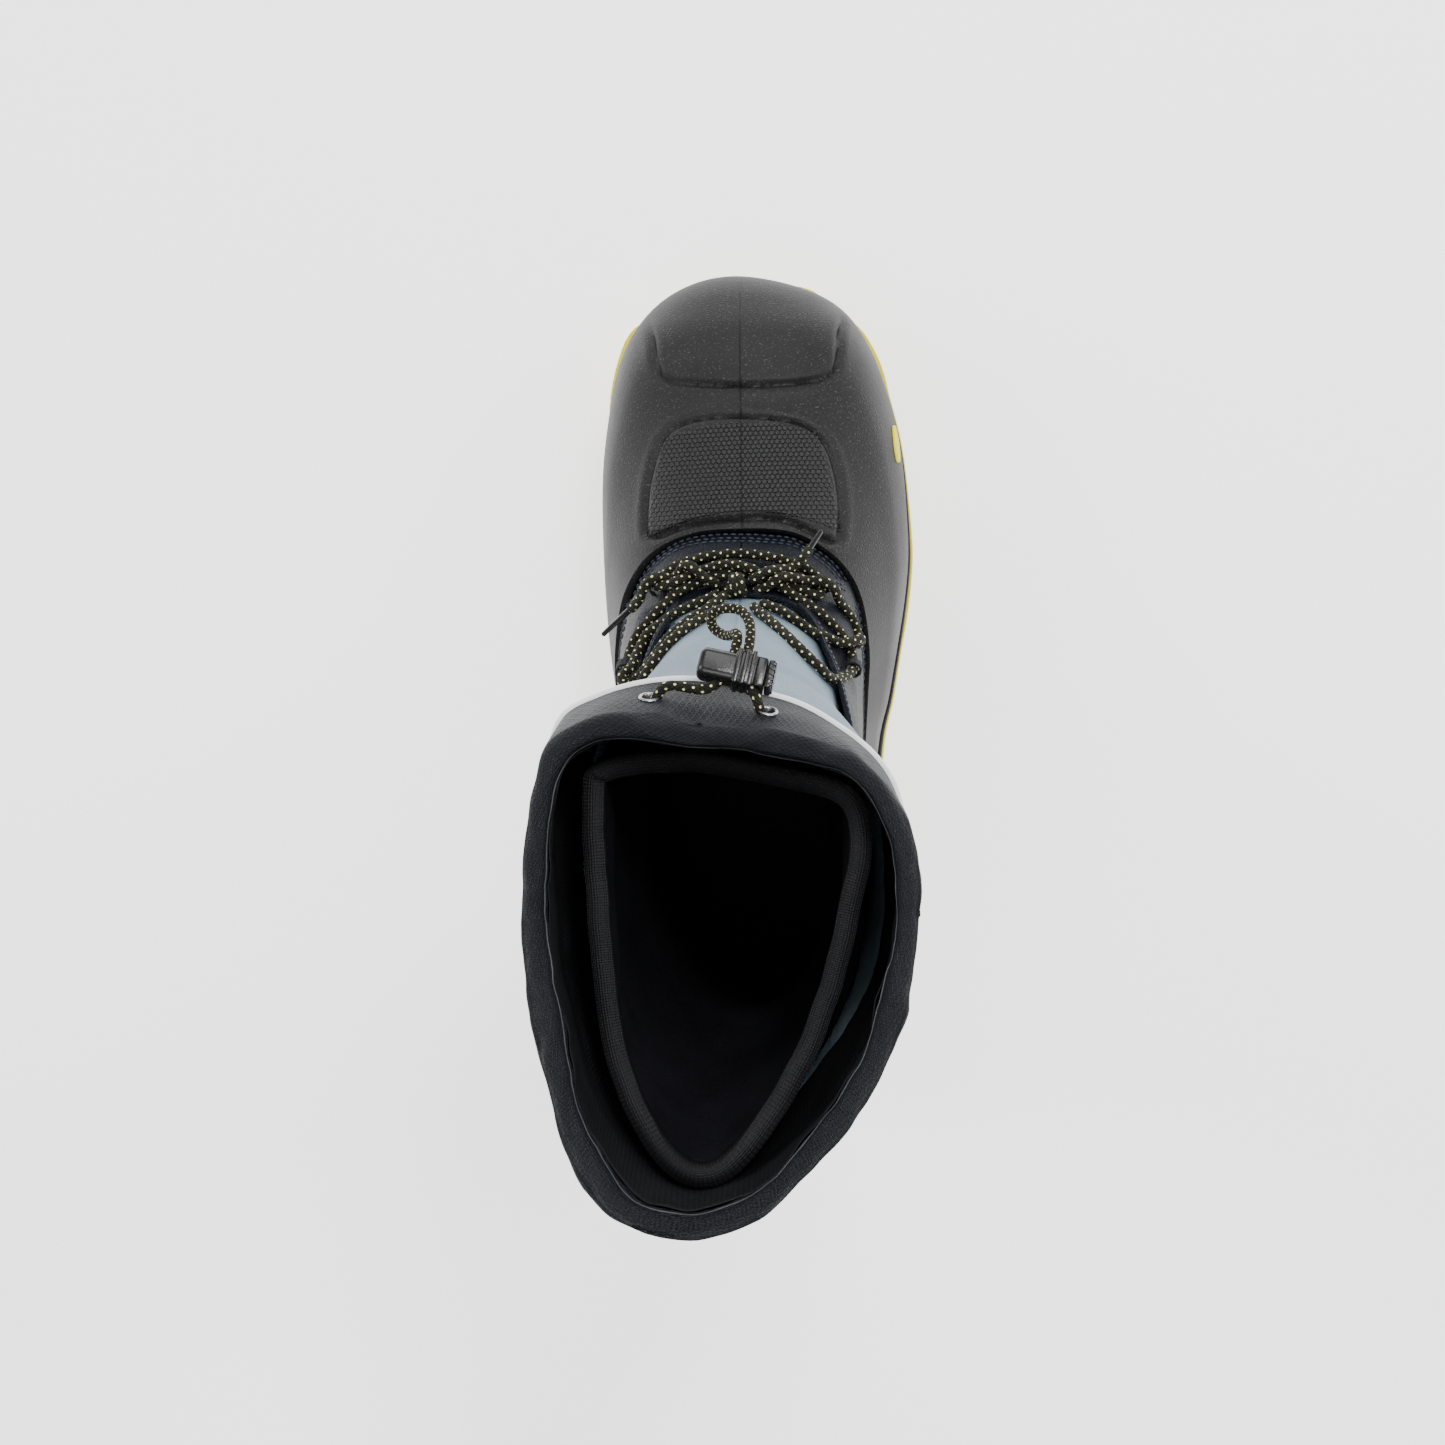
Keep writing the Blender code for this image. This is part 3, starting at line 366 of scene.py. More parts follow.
def shell_rings():
    """The shell's outer surface, from its sole line up the wall and over the foot to its edge."""
    wide = ring(SHELL_OUTLINE, SHELL_CENTRE)
    edge = ring(SHELL_EDGE, SHELL_CENTRE)
    rings = [ring(SHELL_OUTLINE, SHELL_CENTRE, shrink=3.5 * MM, height=SHELL_BASE),
             ring(SHELL_OUTLINE, SHELL_CENTRE, shrink=1 * MM, height=31 * MM), wide]
    for across, rise in wall_profile():
        step = wide + (edge - wide) * across
        step[:, 2] = wide[:, 2] + (edge[:, 2] - wide[:, 2]) * rise
        rings.append(step)
    return np.array(rings)


def between(rings, places):
    """Rings read at places 0 .. len - 1 along a smooth curve through the given rings."""
    grid = np.array(rings)
    whole = np.vstack([2 * grid[:1] - grid[1:2], grid, 2 * grid[-1:] - grid[-2:-1]])
    made = []
    for place in places:
        i = min(int(place), len(grid) - 2)
        made.append(curved(*whole[i : i + 4], place - i))
    return np.array(made)


def outward(grid):
    """The unit normal at every place of a closed grid."""
    around = np.roll(grid[:, :-1], -1, axis=1) - np.roll(grid[:, :-1], 1, axis=1)
    around = np.concatenate([around, around[:, :1]], axis=1)
    normal = np.cross(around, np.gradient(grid, axis=0))
    return normal / np.maximum(np.linalg.norm(normal, axis=2, keepdims=True), 1e-12)


def inset(rings, depth):
    """The same surface moved inwards, square to itself."""
    return rings - outward(rings) * depth


def reach_to(places, line):
    """How far each place is from a line of points, in the places' own unit."""
    best = np.full(len(places), 1e9)
    for a, b in zip(line[:-1], line[1:]):
        along = b - a
        share = np.clip(((places - a) @ along) / max(along @ along, 1e-12), 0, 1)
        best = np.minimum(best, np.linalg.norm(places - a - share[:, None] * along, axis=1))
    return best


def inside(places, line):
    """Whether each place, seen from above, lies inside a closed line."""
    crossed = np.zeros(len(places), bool)
    for (ax, ay), (bx, by) in zip(line, np.roll(line, -1, axis=0)):
        spans = (ay > places[:, 1]) != (by > places[:, 1])
        x = ax + (places[:, 1] - ay) * (bx - ax) / (by - ay if by != ay else 1e-12)
        crossed ^= spans & (places[:, 0] < x)
    return crossed


def eased(value, low, high):
    """0 below low and 1 above high, with a smooth rise."""
    share = np.clip((value - low) / (high - low), 0, 1)
    return share * share * (3 - 2 * share)


TOE_CAP = [(36, -168), (35, -146), (31, -131.5), (20, -128), (-1, -126), (-24, -126.5),
           (-37, -130.5), (-40, -145), (-38, -168), (0, -176)]
GRIP_PANEL = [(0, -113), (18, -112.5), (30, -107), (36, -93), (38.5, -76), (36.5, -66),
              (20, -69.5), (0, -71), (-18, -69.5), (-35, -61), (-38.5, -69), (-38, -86),
              (-33, -102), (-22, -110)]
SIDE_LINES = [
    [(-40, -143, 72), (-45, -140, 66), (-49, -136, 60), (-51, -128, 60)],
    [(-50, -127, 64), (-53, -121, 61), (-55, -115, 60), (-57, -100, 60), (-58, -80, 62)],
    [(44, -138, 66), (51, -126, 60), (54, -108, 58), (55, -86, 60)],
]


PANEL_RISE, PANEL_GROOVE, PANEL_RIM, SIDE_GROOVE = 0.9, 1.6, 0.35, 1.0  # in millimetres


def moulded(grid, upper):
    """The shell's skin with its raised panels and grooves; upper marks rows over the foot."""
    flat = grid.reshape(-1, 3) / MM
    plan = flat[:, :2]
    height = np.zeros(len(flat))
    fade = eased(flat[:, 1], -163, -148)
    for line, weight in ((TOE_CAP, fade), (GRIP_PANEL, np.ones(len(flat)))):
        edge = smooth_line(line, 6, closed=True)
        away = reach_to(plan, np.vstack([edge, edge[:1]]))
        away = np.where(inside(plan, edge), away, -away)
        height += weight * (PANEL_RISE * eased(away, 0.2, 2.6)
                            - PANEL_GROOVE * np.exp(-((away / 0.9) ** 2)))
        height += weight * PANEL_RIM * np.exp(-(((away + 3.2) / 1.5) ** 2))
    for line in SIDE_LINES:
        away = reach_to(flat, smooth_line(line, 6))
        height -= SIDE_GROOVE * np.exp(-((away / 1.2) ** 2))
    height = height.reshape(grid.shape[:2]) * upper[:, None]
    return grid + outward(grid) * height[:, :, None] * MM


SHELL = shell_rings()
ROW_PLACES = np.concatenate([
    np.linspace(0, 2, 16, endpoint=False), np.linspace(2, 6, 40, endpoint=False),
    np.linspace(6, 7, 28, endpoint=False), np.linspace(7, 9, 72),
])
shell_grid = between(SHELL, ROW_PLACES)
upper_rows = eased(ROW_PLACES, 2.6, 3.6) * (1 - eased(ROW_PLACES, 8.93, 9.0))
shell_grid = moulded(shell_grid, upper_rows)
# A raised band follows the sole line.
band = np.exp(-(((ROW_PLACES - 0.95) / 0.16) ** 8))
shell_grid += outward(shell_grid) * (0.5 * MM * band)[:, None, None]
lining = inset(SHELL, SHELL_WALL)
lining[0, :, 2] = SHELL_BASE + SHELL_WALL
last_rise = SHELL[-1] - SHELL[-2]
lip = shell_grid[-1] - outward(SHELL)[-1] * 0.5 * SHELL_WALL
lip = lip + last_rise / np.linalg.norm(last_rise, axis=1, keepdims=True) * 0.5 * MM
inner_wall = between(lining, [9, 8.6, 8, 7, 6, 5, 4, 3, 2, 1, 0.3, 0])
shell_mesh = closed_off(skin(np.concatenate([shell_grid, lip[None], inner_wall])))

SHELL_RUBBER = mottled("shell_rubber", (0.0085, 0.0085, 0.009), (0.0145, 0.0142, 0.0145),
                       (0.055, 0.055, 0.055), 22, 1400, 0.48, 0.0003, gloss=0.22)


HEXAGON = 2.1 * MM
ROOT_3 = 1.732


def split(where):
    """The x, y and z of a place, or the u and v of a UV map and a third part without use."""
    node = where.tree.nodes.new("ShaderNodeSeparateXYZ")
    feed(where, node.inputs[0])
    return [Value(part) for part in node.outputs]


def painted(made, mask, colour):
    """Lays a colour over the material's own, as far as the mask lets it."""
    base = made.node_tree.nodes["Principled BSDF"].inputs["Base Color"]
    feed(mixed(mask, Value(base.links[0].from_socket), colour), base)


def mould_marks(made):
    """The parting line down the middle of the toe, and the hexagons of the grip panel."""
    x, y, _ = split(coordinates(made, "Object"))
    line = 1 - maths("ABSOLUTE", x + 0.5 * MM).stepped(0.0001, 0.00045)
    line = line * (1 - y.stepped(-0.06, -0.05))
    relief(made, line, 0.0004)
    # Hexagons: the nearer of two staggered grids of cells, seen from above.
    cells = []
    for shift in (0.0, 0.5):
        u = x / HEXAGON + (shift + 60.0)
        v = y / (HEXAGON * ROOT_3) + (shift + 160.0)
        du = maths("FRACT", u) - 0.5
        dv = (maths("FRACT", v) - 0.5) * ROOT_3
        cells.append(maths("SQRT", du * du + dv * dv))
    mask = panel_mask(x, y)
    domes = (1 - maths("MINIMUM", *cells).stepped(0.3, 0.52)) * mask
    relief(made, domes, 0.0007)
    # Painted shade in the grooves between the hexagons, and painted highlights on their domes.
    painted(made, (mask - domes) * 0.75, (0.003, 0.003, 0.0035))
    painted(made, domes * 0.6, (0.03, 0.03, 0.031))
    painted(made, line * 0.6, (0.004, 0.004, 0.0045))


def panel_mask(x, y):
    """1 over the grip panel: the places inside four edges, seen from above."""
    # The edge near the ankle and the edge near the toe are bowed, and the sides slant.
    bow = x * x
    below = 1 - (y - bow * 6.0).stepped(-0.0745, -0.0735)
    above = (y - bow * 5.0).stepped(-0.1108, -0.1098)
    within = 1 - (maths("ABSOLUTE", x) - y * 0.2).stepped(0.0515, 0.0525)
    return below * above * within


mould_marks(SHELL_RUBBER)
piece("shell", shell_mesh, SHELL_RUBBER, ["shell"], sharp=60)

# ---- side accent and heel counter ---------------------------------------------------------------
# A small yellow rubber patch is bonded into the shell's wall beside the ball of the foot. A stiff
# plastic cup stands between the shell's heel and the liner.

PATCH_ROWS = 12
PATCH_ANGLE = -116.5
patch = inset(between(SHELL, np.linspace(3.05, 4.0, PATCH_ROWS)), -0.7 * MM)
spread = 1.7 * (1 - np.abs(np.linspace(-0.75, 0.75, PATCH_ROWS)) ** 1.5)
slant = PATCH_ANGLE + np.linspace(0.8, -0.8, PATCH_ROWS)


def cut(grid, start, end, columns):
    """The part of a closed grid between two angles, which may change from row to row."""
    theta = np.degrees(thetas(grid.shape[1] - 1))[:-1]
    turns = np.concatenate([theta - 360, theta, theta + 360])
    order = np.argsort(turns)
    start = np.broadcast_to(start, len(grid))
    end = np.broadcast_to(end, len(grid))
    made = []
    for row, low, high in zip(grid, start, end):
        wanted = np.linspace(low, high, columns + 1)
        tripled = np.concatenate([row[:-1]] * 3)
        made.append(np.stack([np.interp(wanted, turns[order], tripled[order, k])
                              for k in range(3)], axis=1))
    return np.array(made)


patch = cut(patch, slant - spread, slant + spread, 14)
piece("side_accent", skin(patch, closed=False), YELLOW_RUBBER, ["side_accent"],
      wall=1.4 * MM)
COUNTER_PLASTIC = mottled("counter_plastic", (0.42, 0.42, 0.4), (0.55, 0.55, 0.52),
                          (0.6, 0.6, 0.58), 50, 900, 0.45, 0.00005)
dressed("heel_counter", COUNTER_PLASTIC)

# ---- leather vamp and quarters ------------------------------------------------------------------
# The leather is cut in five pieces, tucked under the shell's edge and sewn through it. The
# quarters lap over the vamp, and the leather is navy, smooth and creased where the ankle bends.

LEATHER = 1.8 * MM
LEATHER_CENTRE = (0, 40)
LEATHER_TOP = [
    (0, -43, 141), (14, -42, 141), (26, -37, 143), (37, -15, 156), (41, 10, 177), (44, 45, 190),
    (41, 85, 195), (25, 115, 199), (0, 125, 201), (-25, 115, 199), (-41, 85, 195), (-44, 45, 190),
    (-40, 10, 177), (-36, -13, 156), (-26, -34, 143), (-14, -41, 141),
]

SHAFT_LOW_CENTRE = (0, 50)
SHAFT_LOW = [
    (0, -22, 190), (20, -17, 191), (36, 3, 198), (44, 40, 207), (45, 70, 212), (40, 100, 216),
    (22, 124, 218), (0, 131, 219), (-22, 124, 218), (-40, 100, 216), (-46, 70, 212),
    (-45, 40, 207), (-36, 6, 198), (-20, -15, 191),
]


def leather_rings():
    """The leather's outer surface, from inside the shell's edge up to the ankle."""
    seat = inset(SHELL, SHELL_WALL + 0.35 * MM)
    edge = seat[-1]
    tucked = edge + (seat[-2] - edge) * 0.3
    tucked[:, 2] = edge[:, 2] - 0.3 * (edge[:, 2] - seat[-2][:, 2]) - 3 * MM
    top = ring(LEATHER_TOP, LEATHER_CENTRE)
    middle = edge + (top - edge) * 0.5
    swell = ring(LEATHER_TOP, LEATHER_CENTRE, shrink=-1.5 * MM) - top
    return np.array([tucked, edge, middle + swell, top])


FROM_TOE = np.abs((np.degrees(thetas(COLUMNS)) - TOE + 180) % 360 - 180)


def flap_tops(rings):
    """The leather's rings with the quarters carried up over the shaft beside the throat."""
    low = ring(SHAFT_LOW, SHAFT_LOW_CENTRE, shrink=-2.6 * MM)
    share = 0.14 + 0.32 * np.exp(-(((FROM_TOE - 46) / 21) ** 2))
    return np.concatenate([rings, (rings[3] + (low - rings[3]) * share[:, None])[None]])


def rumpled(grid, size, depth, seed):
    """The surface with soft uneven swells, size apart and depth high."""
    normal = outward(grid)
    made = grid.copy()
    shift = Vector((seed * 7.1, seed * 3.3, seed * 5.7))
    for r in range(grid.shape[0]):
        for c in range(grid.shape[1] - 1):
            lift = noise.fractal(Vector(grid[r, c]) / size + shift, 1.0, 2.0, 3) * depth
            made[r, c] += normal[r, c] * lift
    made[:, -1] = made[:, 0]
    return made


NAVY_LEATHER = mottled("navy_leather", (0.003, 0.0042, 0.0075), (0.0055, 0.0075, 0.0125),
                       (0.02, 0.024, 0.034), 26, 1100, 0.46, 0.00012, gloss=0.12)


def creased(made):
    """Pale scuffed patches and a web of fine creases, as worn leather has."""
    where = coordinates(made, "Object")
    web = node_at(where, "TexVoronoi", Scale=700)
    web.feature = "DISTANCE_TO_EDGE"
    patches = node_at(where, "TexNoise", Scale=75, Detail=5, Distortion=1.2)
    scuffed = Value(patches.outputs[0])
    relief(made, Value(web.outputs["Distance"]).stepped(0.0, 0.25), 0.00012)
    relief(made, scuffed, 0.0007)
    painted(made, scuffed.stepped(0.62, 0.67) * 0.5, (0.018, 0.022, 0.03))


creased(NAVY_LEATHER)
LEATHER_PLACES = np.concatenate([np.linspace(0, 1, 8, endpoint=False),
                                 np.linspace(1, 3, 46, endpoint=False), np.linspace(3, 4, 14)])
leather = between(flap_tops(leather_rings()), LEATHER_PLACES)
leather = rumpled(leather, 34 * MM, 0.9 * MM, 1)
rise = eased(LEATHER_PLACES, 1.0, 2.5)
FRONT_MEDIAL = -52 - 22 * rise
FRONT_LATERAL = -123 + 17 * rise
LAP = 6  # degrees that a vamp runs on under its quarter
SEAM_GAP = 0.15
leather_out = outward(leather)
lapped = leather + leather_out * MM
strapped = lapped + leather_out * 0.9 * MM
LEATHER_PANELS = {
    "vamp_medial": (leather, TOE + SEAM_GAP, FRONT_MEDIAL + LAP, 60),
    "vamp_lateral": (leather, FRONT_LATERAL - LAP, TOE - SEAM_GAP, 60),
    "quarter_medial": (lapped, FRONT_MEDIAL, 80, 150),
    "heel_strap": (strapped, 77.5, 103.5, 40),
    "quarter_lateral": (lapped, 101, FRONT_LATERAL + 360, 150),
}
for name, (grid, start, end, columns) in LEATHER_PANELS.items():
    part = cut(grid, start, end, columns)
    item = piece(name, skin(part, closed=False), NAVY_LEATHER, [name],
                 wall=LEATHER * (0.9 if name.startswith("vamp") else 1.0))
    round_edge = item.modifiers.new("edge", "BEVEL")
    round_edge.width = 0.4 * MM
    round_edge.segments = 2
    round_edge.limit_method = "ANGLE"
    round_edge.angle_limit = math.radians(60)

# ---- stitching ----------------------------------------------------------------------------------
# Rows of thick waxed thread hold the leather to the shell and the quarters to the vamp. Each
# stitch is a short pill that sinks at both its ends.

THREAD = mottled("thread", (0.02, 0.025, 0.036), (0.038, 0.046, 0.062), (0.08, 0.09, 0.11),
                 200, 3000, 0.5, 0.0001)
STITCH, PITCH = 2.3 * MM, 3.0 * MM
pill = bmesh.new()
bmesh.ops.create_uvsphere(pill, u_segments=6, v_segments=4, radius=1)
PILL = bpy.data.meshes.new("stitch")
pill.to_mesh(PILL)
pill.free()
PILL_CORNERS = np.array([corner.co for corner in PILL.vertices])


def sew(mesh, seam, lift=0.22 * MM):
    """Stitches along a seam of (place, outward) pairs."""
    places = np.array([place for place, _ in seam])
    normals = np.array([normal for _, normal in seam])
    along = np.concatenate([[0], np.cumsum(np.linalg.norm(np.diff(places, axis=0), axis=1))])
    for at in np.arange(PITCH, along[-1] - PITCH / 2, PITCH):
        middle = Vector([np.interp(at, along, places[:, k]) for k in range(3)])
        ahead = Vector([np.interp(at + STITCH / 2, along, places[:, k]) for k in range(3)])
        out = Vector([np.interp(at, along, normals[:, k]) for k in range(3)]).normalized()
        long = (ahead - middle).normalized()
        side = out.cross(long).normalized()
        turn = np.array([side * 0.46 * MM, out * 0.42 * MM, long * STITCH / 2])
        PILL.vertices.foreach_set("co", (PILL_CORNERS @ turn + (middle + out * lift)).ravel())
        mesh.from_mesh(PILL)


def seam_beside(grid, angles, inwards, rows):
    """A seam that runs up a grid beside an angle that changes from row to row."""
    normal = outward(grid)
    first = cut(grid, angles + inwards, angles + inwards + 1, 1)[:, 0]
    aim = cut(normal, angles + inwards, angles + inwards + 1, 1)[:, 0]
    return [(first[r], aim[r]) for r in rows]


stitches = bmesh.new()
for row in (10, 14, 17):
    sink = np.where(FROM_TOE > 38, 0, -MM)
    sew(stitches, [(lapped[row, k] + leather_out[row, k] * sink[k], leather_out[row, k])
                   for k in range(COLUMNS + 1)])
for row in (-4, -7):
    sew(stitches, [(lapped[row, k], leather_out[row, k]) for k in range(COLUMNS + 1)
                   if FROM_TOE[k] > 22])
UP_ROWS = range(18, len(leather) - 4)
for gap in (1.6, 3.4):
    sew(stitches, seam_beside(lapped, FRONT_MEDIAL, gap, UP_ROWS))
    sew(stitches, seam_beside(lapped, FRONT_LATERAL, -gap, UP_ROWS))
for angle in (79.3, 101.7):
    sew(stitches, seam_beside(strapped, np.full(len(leather), angle), 0, range(10, 58)))
piece("leather_stitching", stitches, THREAD)

# ---- shaft --------------------------------------------------------------------------------------
# The shaft is heavy woven nylon in two halves, sewn at the front and back. It is cut wide at the
# ankle and hangs in soft folds between the leather and the piping.

NYLON = 1.2 * MM
SHAFT_MID_CENTRE = (0, 65)
SHAFT_MID = [
    (2, -12, 238), (26, -8, 239), (44, 8, 243), (52, 42, 248), (53, 75, 251), (47, 110, 255),
    (28, 138, 258), (3, 147, 259), (-22, 138, 258), (-43, 112, 255), (-53, 80, 251),
    (-53, 48, 248), (-46, 18, 243), (-26, -4, 239),
]
PIPING_CENTRE = (2, 78)
PIPING_RING = [
    (6, -4, 286), (23, -4, 286), (40, 0, 287), (53.5, 8, 288), (59, 30, 290), (60, 60, 292),
    (59, 85, 293), (54, 112, 295), (45, 137, 297), (28, 156, 299), (9, 162, 300), (-13, 157, 299),
    (-36, 138, 297), (-50, 116, 295), (-58, 90, 293), (-61, 60, 291), (-58.5, 38, 290),
    (-53, 26, 288), (-43, 16, 287), (-27, 5.5, 286), (-10, 0, 286),
]


def shaft_rings():
    """The nylon shaft's outer surface, from behind the leather up to the piping."""
    behind = inset(between(leather_rings(), (2.0, 2.5, 3.0)), LEATHER + 0.7 * MM)
    return np.array([behind[0], behind[2], ring(SHAFT_LOW, SHAFT_LOW_CENTRE),
                     ring(SHAFT_MID, SHAFT_MID_CENTRE),
                     ring(PIPING_RING, PIPING_CENTRE, lift=-0.9 * MM)])


def make_weave():
    """A plain weave: threads that pass over and under each other, from a UV map in metres."""
    tree, given, made = shader_group("weave", {"Vector": "Vector", "Pitch": "Float"},
                                     {"Height": "Float"})
    warp, weft = (maths("SINE", part / given["Pitch"] * math.pi)
                  for part in split(given["Vector"])[:2])
    feed(maths("ABSOLUTE", warp * weft), made["Height"])
    return tree


WEAVE = make_weave()


def woven(name, dark, light, fleck, pitch, rough, depth, shade=0.5):
    """Cloth: a mottled material with a weave over it, and painted shade in the weave's hollows."""
    made = mottled(name, dark, light, fleck, 30, 1600, rough, 0.0001)
    weave = node_at(coordinates(made, "UV"), "Group", WEAVE, Pitch=pitch)
    height = Value(weave.outputs["Height"])
    relief(made, height, depth)
    # Painted shade darkens the hollows between the threads.
    painted(made, (1 - height) * shade, [0.45 * part for part in dark])
    return made


GREY_NYLON = woven("grey_nylon", (0.20, 0.275, 0.335), (0.27, 0.355, 0.415), (0.33, 0.42, 0.48),
                   0.0006, 0.62, 0.0002, 0.35)
SHAFT_PLACES = np.linspace(0, 4, 84)
shaft = between(shaft_rings(), SHAFT_PLACES)
free = eased(SHAFT_PLACES, 1.1, 2.0) * (1 - eased(SHAFT_PLACES, 3.7, 4))
folded = rumpled(shaft, 55 * MM, 2.4 * MM, 2)
shaft = shaft + (folded - shaft) * free[:, None, None]
for name, start, end in (("shaft_medial", -90.1, 90), ("shaft_lateral", 90.1, 270.1)):
    half = cut(shaft, start, end, 180)
    item = piece(name, skin(half, closed=False), GREY_NYLON, [name],
                 wall=NYLON)

# ---- piping -------------------------------------------------------------------------------------
# A bead of white reflective film round a cord is sewn into the seam between the shaft and the
# collar. Its flange is hidden in the seam.

REFLECTIVE = mottled("reflective", (0.74, 0.75, 0.76), (0.84, 0.85, 0.86), (0.92, 0.92, 0.92),
                     90, 2600, 0.3, 0.00006)


def tube_grid(line, radius, sides, taper=()):
    """Places round a line of points; taper has a share of the radius for each point."""
    line = np.array(line)
    ahead = np.gradient(line, axis=0)
    ahead /= np.linalg.norm(ahead, axis=1, keepdims=True)
    side = np.cross(ahead[0], (0.3, 0.2, 1.0))
    rows = []
    for k, (place, way) in enumerate(zip(line, ahead)):
        side = side - way * (side @ way)
        side /= np.linalg.norm(side)
        up = np.cross(way, side)
        turn = np.linspace(0, 2 * math.pi, sides + 1)
        size = radius * (taper[k] if len(taper) else 1)
        rows.append(place + size * (np.cos(turn)[:, None] * side + np.sin(turn)[:, None] * up))
    return np.array(rows)


def capped(line, radius, sides=12):
    """A cord's skin with domed ends."""
    line = np.array(line)
    first = (line[0] - line[1]) / np.linalg.norm(line[0] - line[1])
    last = (line[-1] - line[-2]) / np.linalg.norm(line[-1] - line[-2])
    whole = np.vstack([line[0] + first * 0.45 * radius, line[0] + first * 0.2 * radius, line,
                       line[-1] + last * 0.2 * radius, line[-1] + last * 0.45 * radius])
    taper = [0.45, 0.85, *[1] * len(line), 0.85, 0.45]
    return closed_off(skin(tube_grid(whole, radius, sides, taper)))


BEAD = 1.6 * MM
bead = ring(PIPING_RING, PIPING_CENTRE, 300)
bead_out = bead - ring(PIPING_RING, PIPING_CENTRE, 300, shrink=1 * MM)
bead_out /= np.linalg.norm(bead_out, axis=1, keepdims=True)
bead_rows = []
for angle in np.linspace(0, 2 * math.pi, 13) - math.pi / 2:
    bead_rows.append(bead + bead_out * BEAD * math.cos(angle)
                     + np.array([0, 0, BEAD * math.sin(angle)]))
piece("reflective_piping", skin(bead_rows), REFLECTIVE, ["reflective_piping"])

# ---- collar -------------------------------------------------------------------------------------
# The snow collar is light ripstop nylon. It is folded over at the top for the drawcord's hem and
# puckers there, and hangs down inside to a taped seam.

RIM_CENTRE = (1, 88)
RIM_RING = [
    (4, 10, 317.5), (30, 6, 318), (46, 9, 320), (57, 20, 322), (63, 48, 327), (64.5, 75, 328),
    (62.5, 98, 331), (58, 121, 333), (51, 147, 335), (35, 169, 337), (12, 176, 337.5),
    (-11, 169, 337), (-26, 156, 336), (-41, 140, 335), (-55, 117, 332), (-63, 88, 330),
    (-65.5, 64, 328), (-63, 47, 325.5), (-57, 34, 322.5), (-46, 22, 318.5), (-24, 14, 317),
]
COLLAR_RIPSTOP = woven("collar_ripstop", (0.0042, 0.0052, 0.0075), (0.007, 0.0085, 0.012),
                       (0.02, 0.024, 0.03), 0.0008, 0.55, 0.00015)


def ripstop(made, cell):
    """Raised threads that cross in diamonds, lighter as a painted highlight."""
    u, v, _ = split(coordinates(made, "UV"))
    u, v = u / cell, v / (cell * 0.8)
    ridges = [maths("ABSOLUTE", maths("FRACT", slanting + 400.0) - 0.5).stepped(0.36, 0.48)
              for slanting in (u + v, u - v)]
    ridge = maths("MAXIMUM", *ridges)
    relief(made, ridge, 0.0008)
    # The raised threads are lightened as a painted highlight.
    painted(made, ridge * 0.8, (0.032, 0.039, 0.05))


ripstop(COLLAR_RIPSTOP, 0.0042)


def collar_rings():
    """The collar fabric: up the outside, over the drawcord's hem, and down inside."""
    low = ring(PIPING_RING, PIPING_CENTRE, lift=1.2 * MM)
    rim = ring(RIM_RING, RIM_CENTRE)
    rings = [low, low + (rim - low) * 0.5]
    fold, drop = 4 * MM, 9 * MM
    outer = rim.copy()
    outer[:, 2] -= fold
    rings.append(outer)
    for degrees in (45, 90, 135, 180):
        angle = math.radians(degrees)
        step = ring(RIM_RING, RIM_CENTRE, shrink=fold * (1 - math.cos(angle)))
        step[:, 2] += fold * (math.sin(angle) - 1)
        rings.append(step)
    inner = ring(RIM_RING, RIM_CENTRE, shrink=2 * fold + 0.5 * MM)
    inner[:, 2] -= fold + drop
    rings.append(inner)
    return np.array(rings)


COLLAR_PLACES = np.linspace(0, 7, 92)
collar = between(collar_rings(), COLLAR_PLACES)
gathered = eased(COLLAR_PLACES, 0.25, 1.6)
pleat_angle = thetas(COLUMNS)
PLEATS = 19
knots = np.sort([360 * (k + 0.7 * noise.noise(Vector((k * 1.7, 3.1, 0.4)))) / PLEATS
                 for k in range(PLEATS)])
kinks = [1.5 * noise.noise(Vector((k * 2.3, 0.6, 5.2))) + (0.35 if k % 2 else -0.35)
         for k in range(PLEATS)]
pleats = np.zeros((len(COLLAR_PLACES), COLUMNS + 1))
for r, place in enumerate(COLLAR_PLACES):
    swing = np.degrees(pleat_angle) + 4 * math.sin(place * 1.3)
    pleats[r] = np.interp(swing, knots, kinks, period=360)
    for c, a in enumerate(pleat_angle):
        at = Vector((math.cos(a) * 9, math.sin(a) * 9, place * 0.7 + 4))
        pleats[r, c] += 0.7 * noise.noise(at)
collar = collar + outward(collar) * (pleats * gathered[:, None] * MM)[:, :, None]
collar[:, -1] = collar[:, 0]
item = piece("snow_collar", skin(collar), COLLAR_RIPSTOP, ["snow_collar"],
             wall=NYLON)

# The seam inside the collar is covered by a narrow grey tape.
SEAM_TAPE = mottled("seam_tape", (0.045, 0.048, 0.055), (0.08, 0.085, 0.095), (0.12, 0.13, 0.14),
                    60, 2000, 0.5, 0.0001)
taped = (COLLAR_PLACES > 6.28) & (COLLAR_PLACES < 6.5)
tape = inset(collar, -0.35 * MM)[taped]
piece("collar_seam_tape", skin(tape), SEAM_TAPE, wall=0.3 * MM)

# ---- collar lining -------------------------------------------------------------------------------
# A black lining hangs from the tape inside the collar and covers the back of the shaft's cloth
# down to where the liner touches it.

LINING_CLOTH = woven("lining_cloth", (0.0035, 0.004, 0.0055), (0.0065, 0.0075, 0.010),
                     (0.016, 0.018, 0.022), 0.0011, 0.7, 0.0002)
behind_shaft = inset(shaft, NYLON + 0.7 * MM)
down = [behind_shaft[np.abs(SHAFT_PLACES - at).argmin()] for at in (3.1, 3.4, 3.7, 3.9)]
hung = between([*down, 0.5 * (down[-1] + collar[-1]), collar[-1]], np.linspace(0, 5, 44))
hung = rumpled(hung, 22 * MM, 1.0 * MM, 4)
piece("collar_lining", skin(hung[::-1]), LINING_CLOTH, wall=-0.4 * MM)

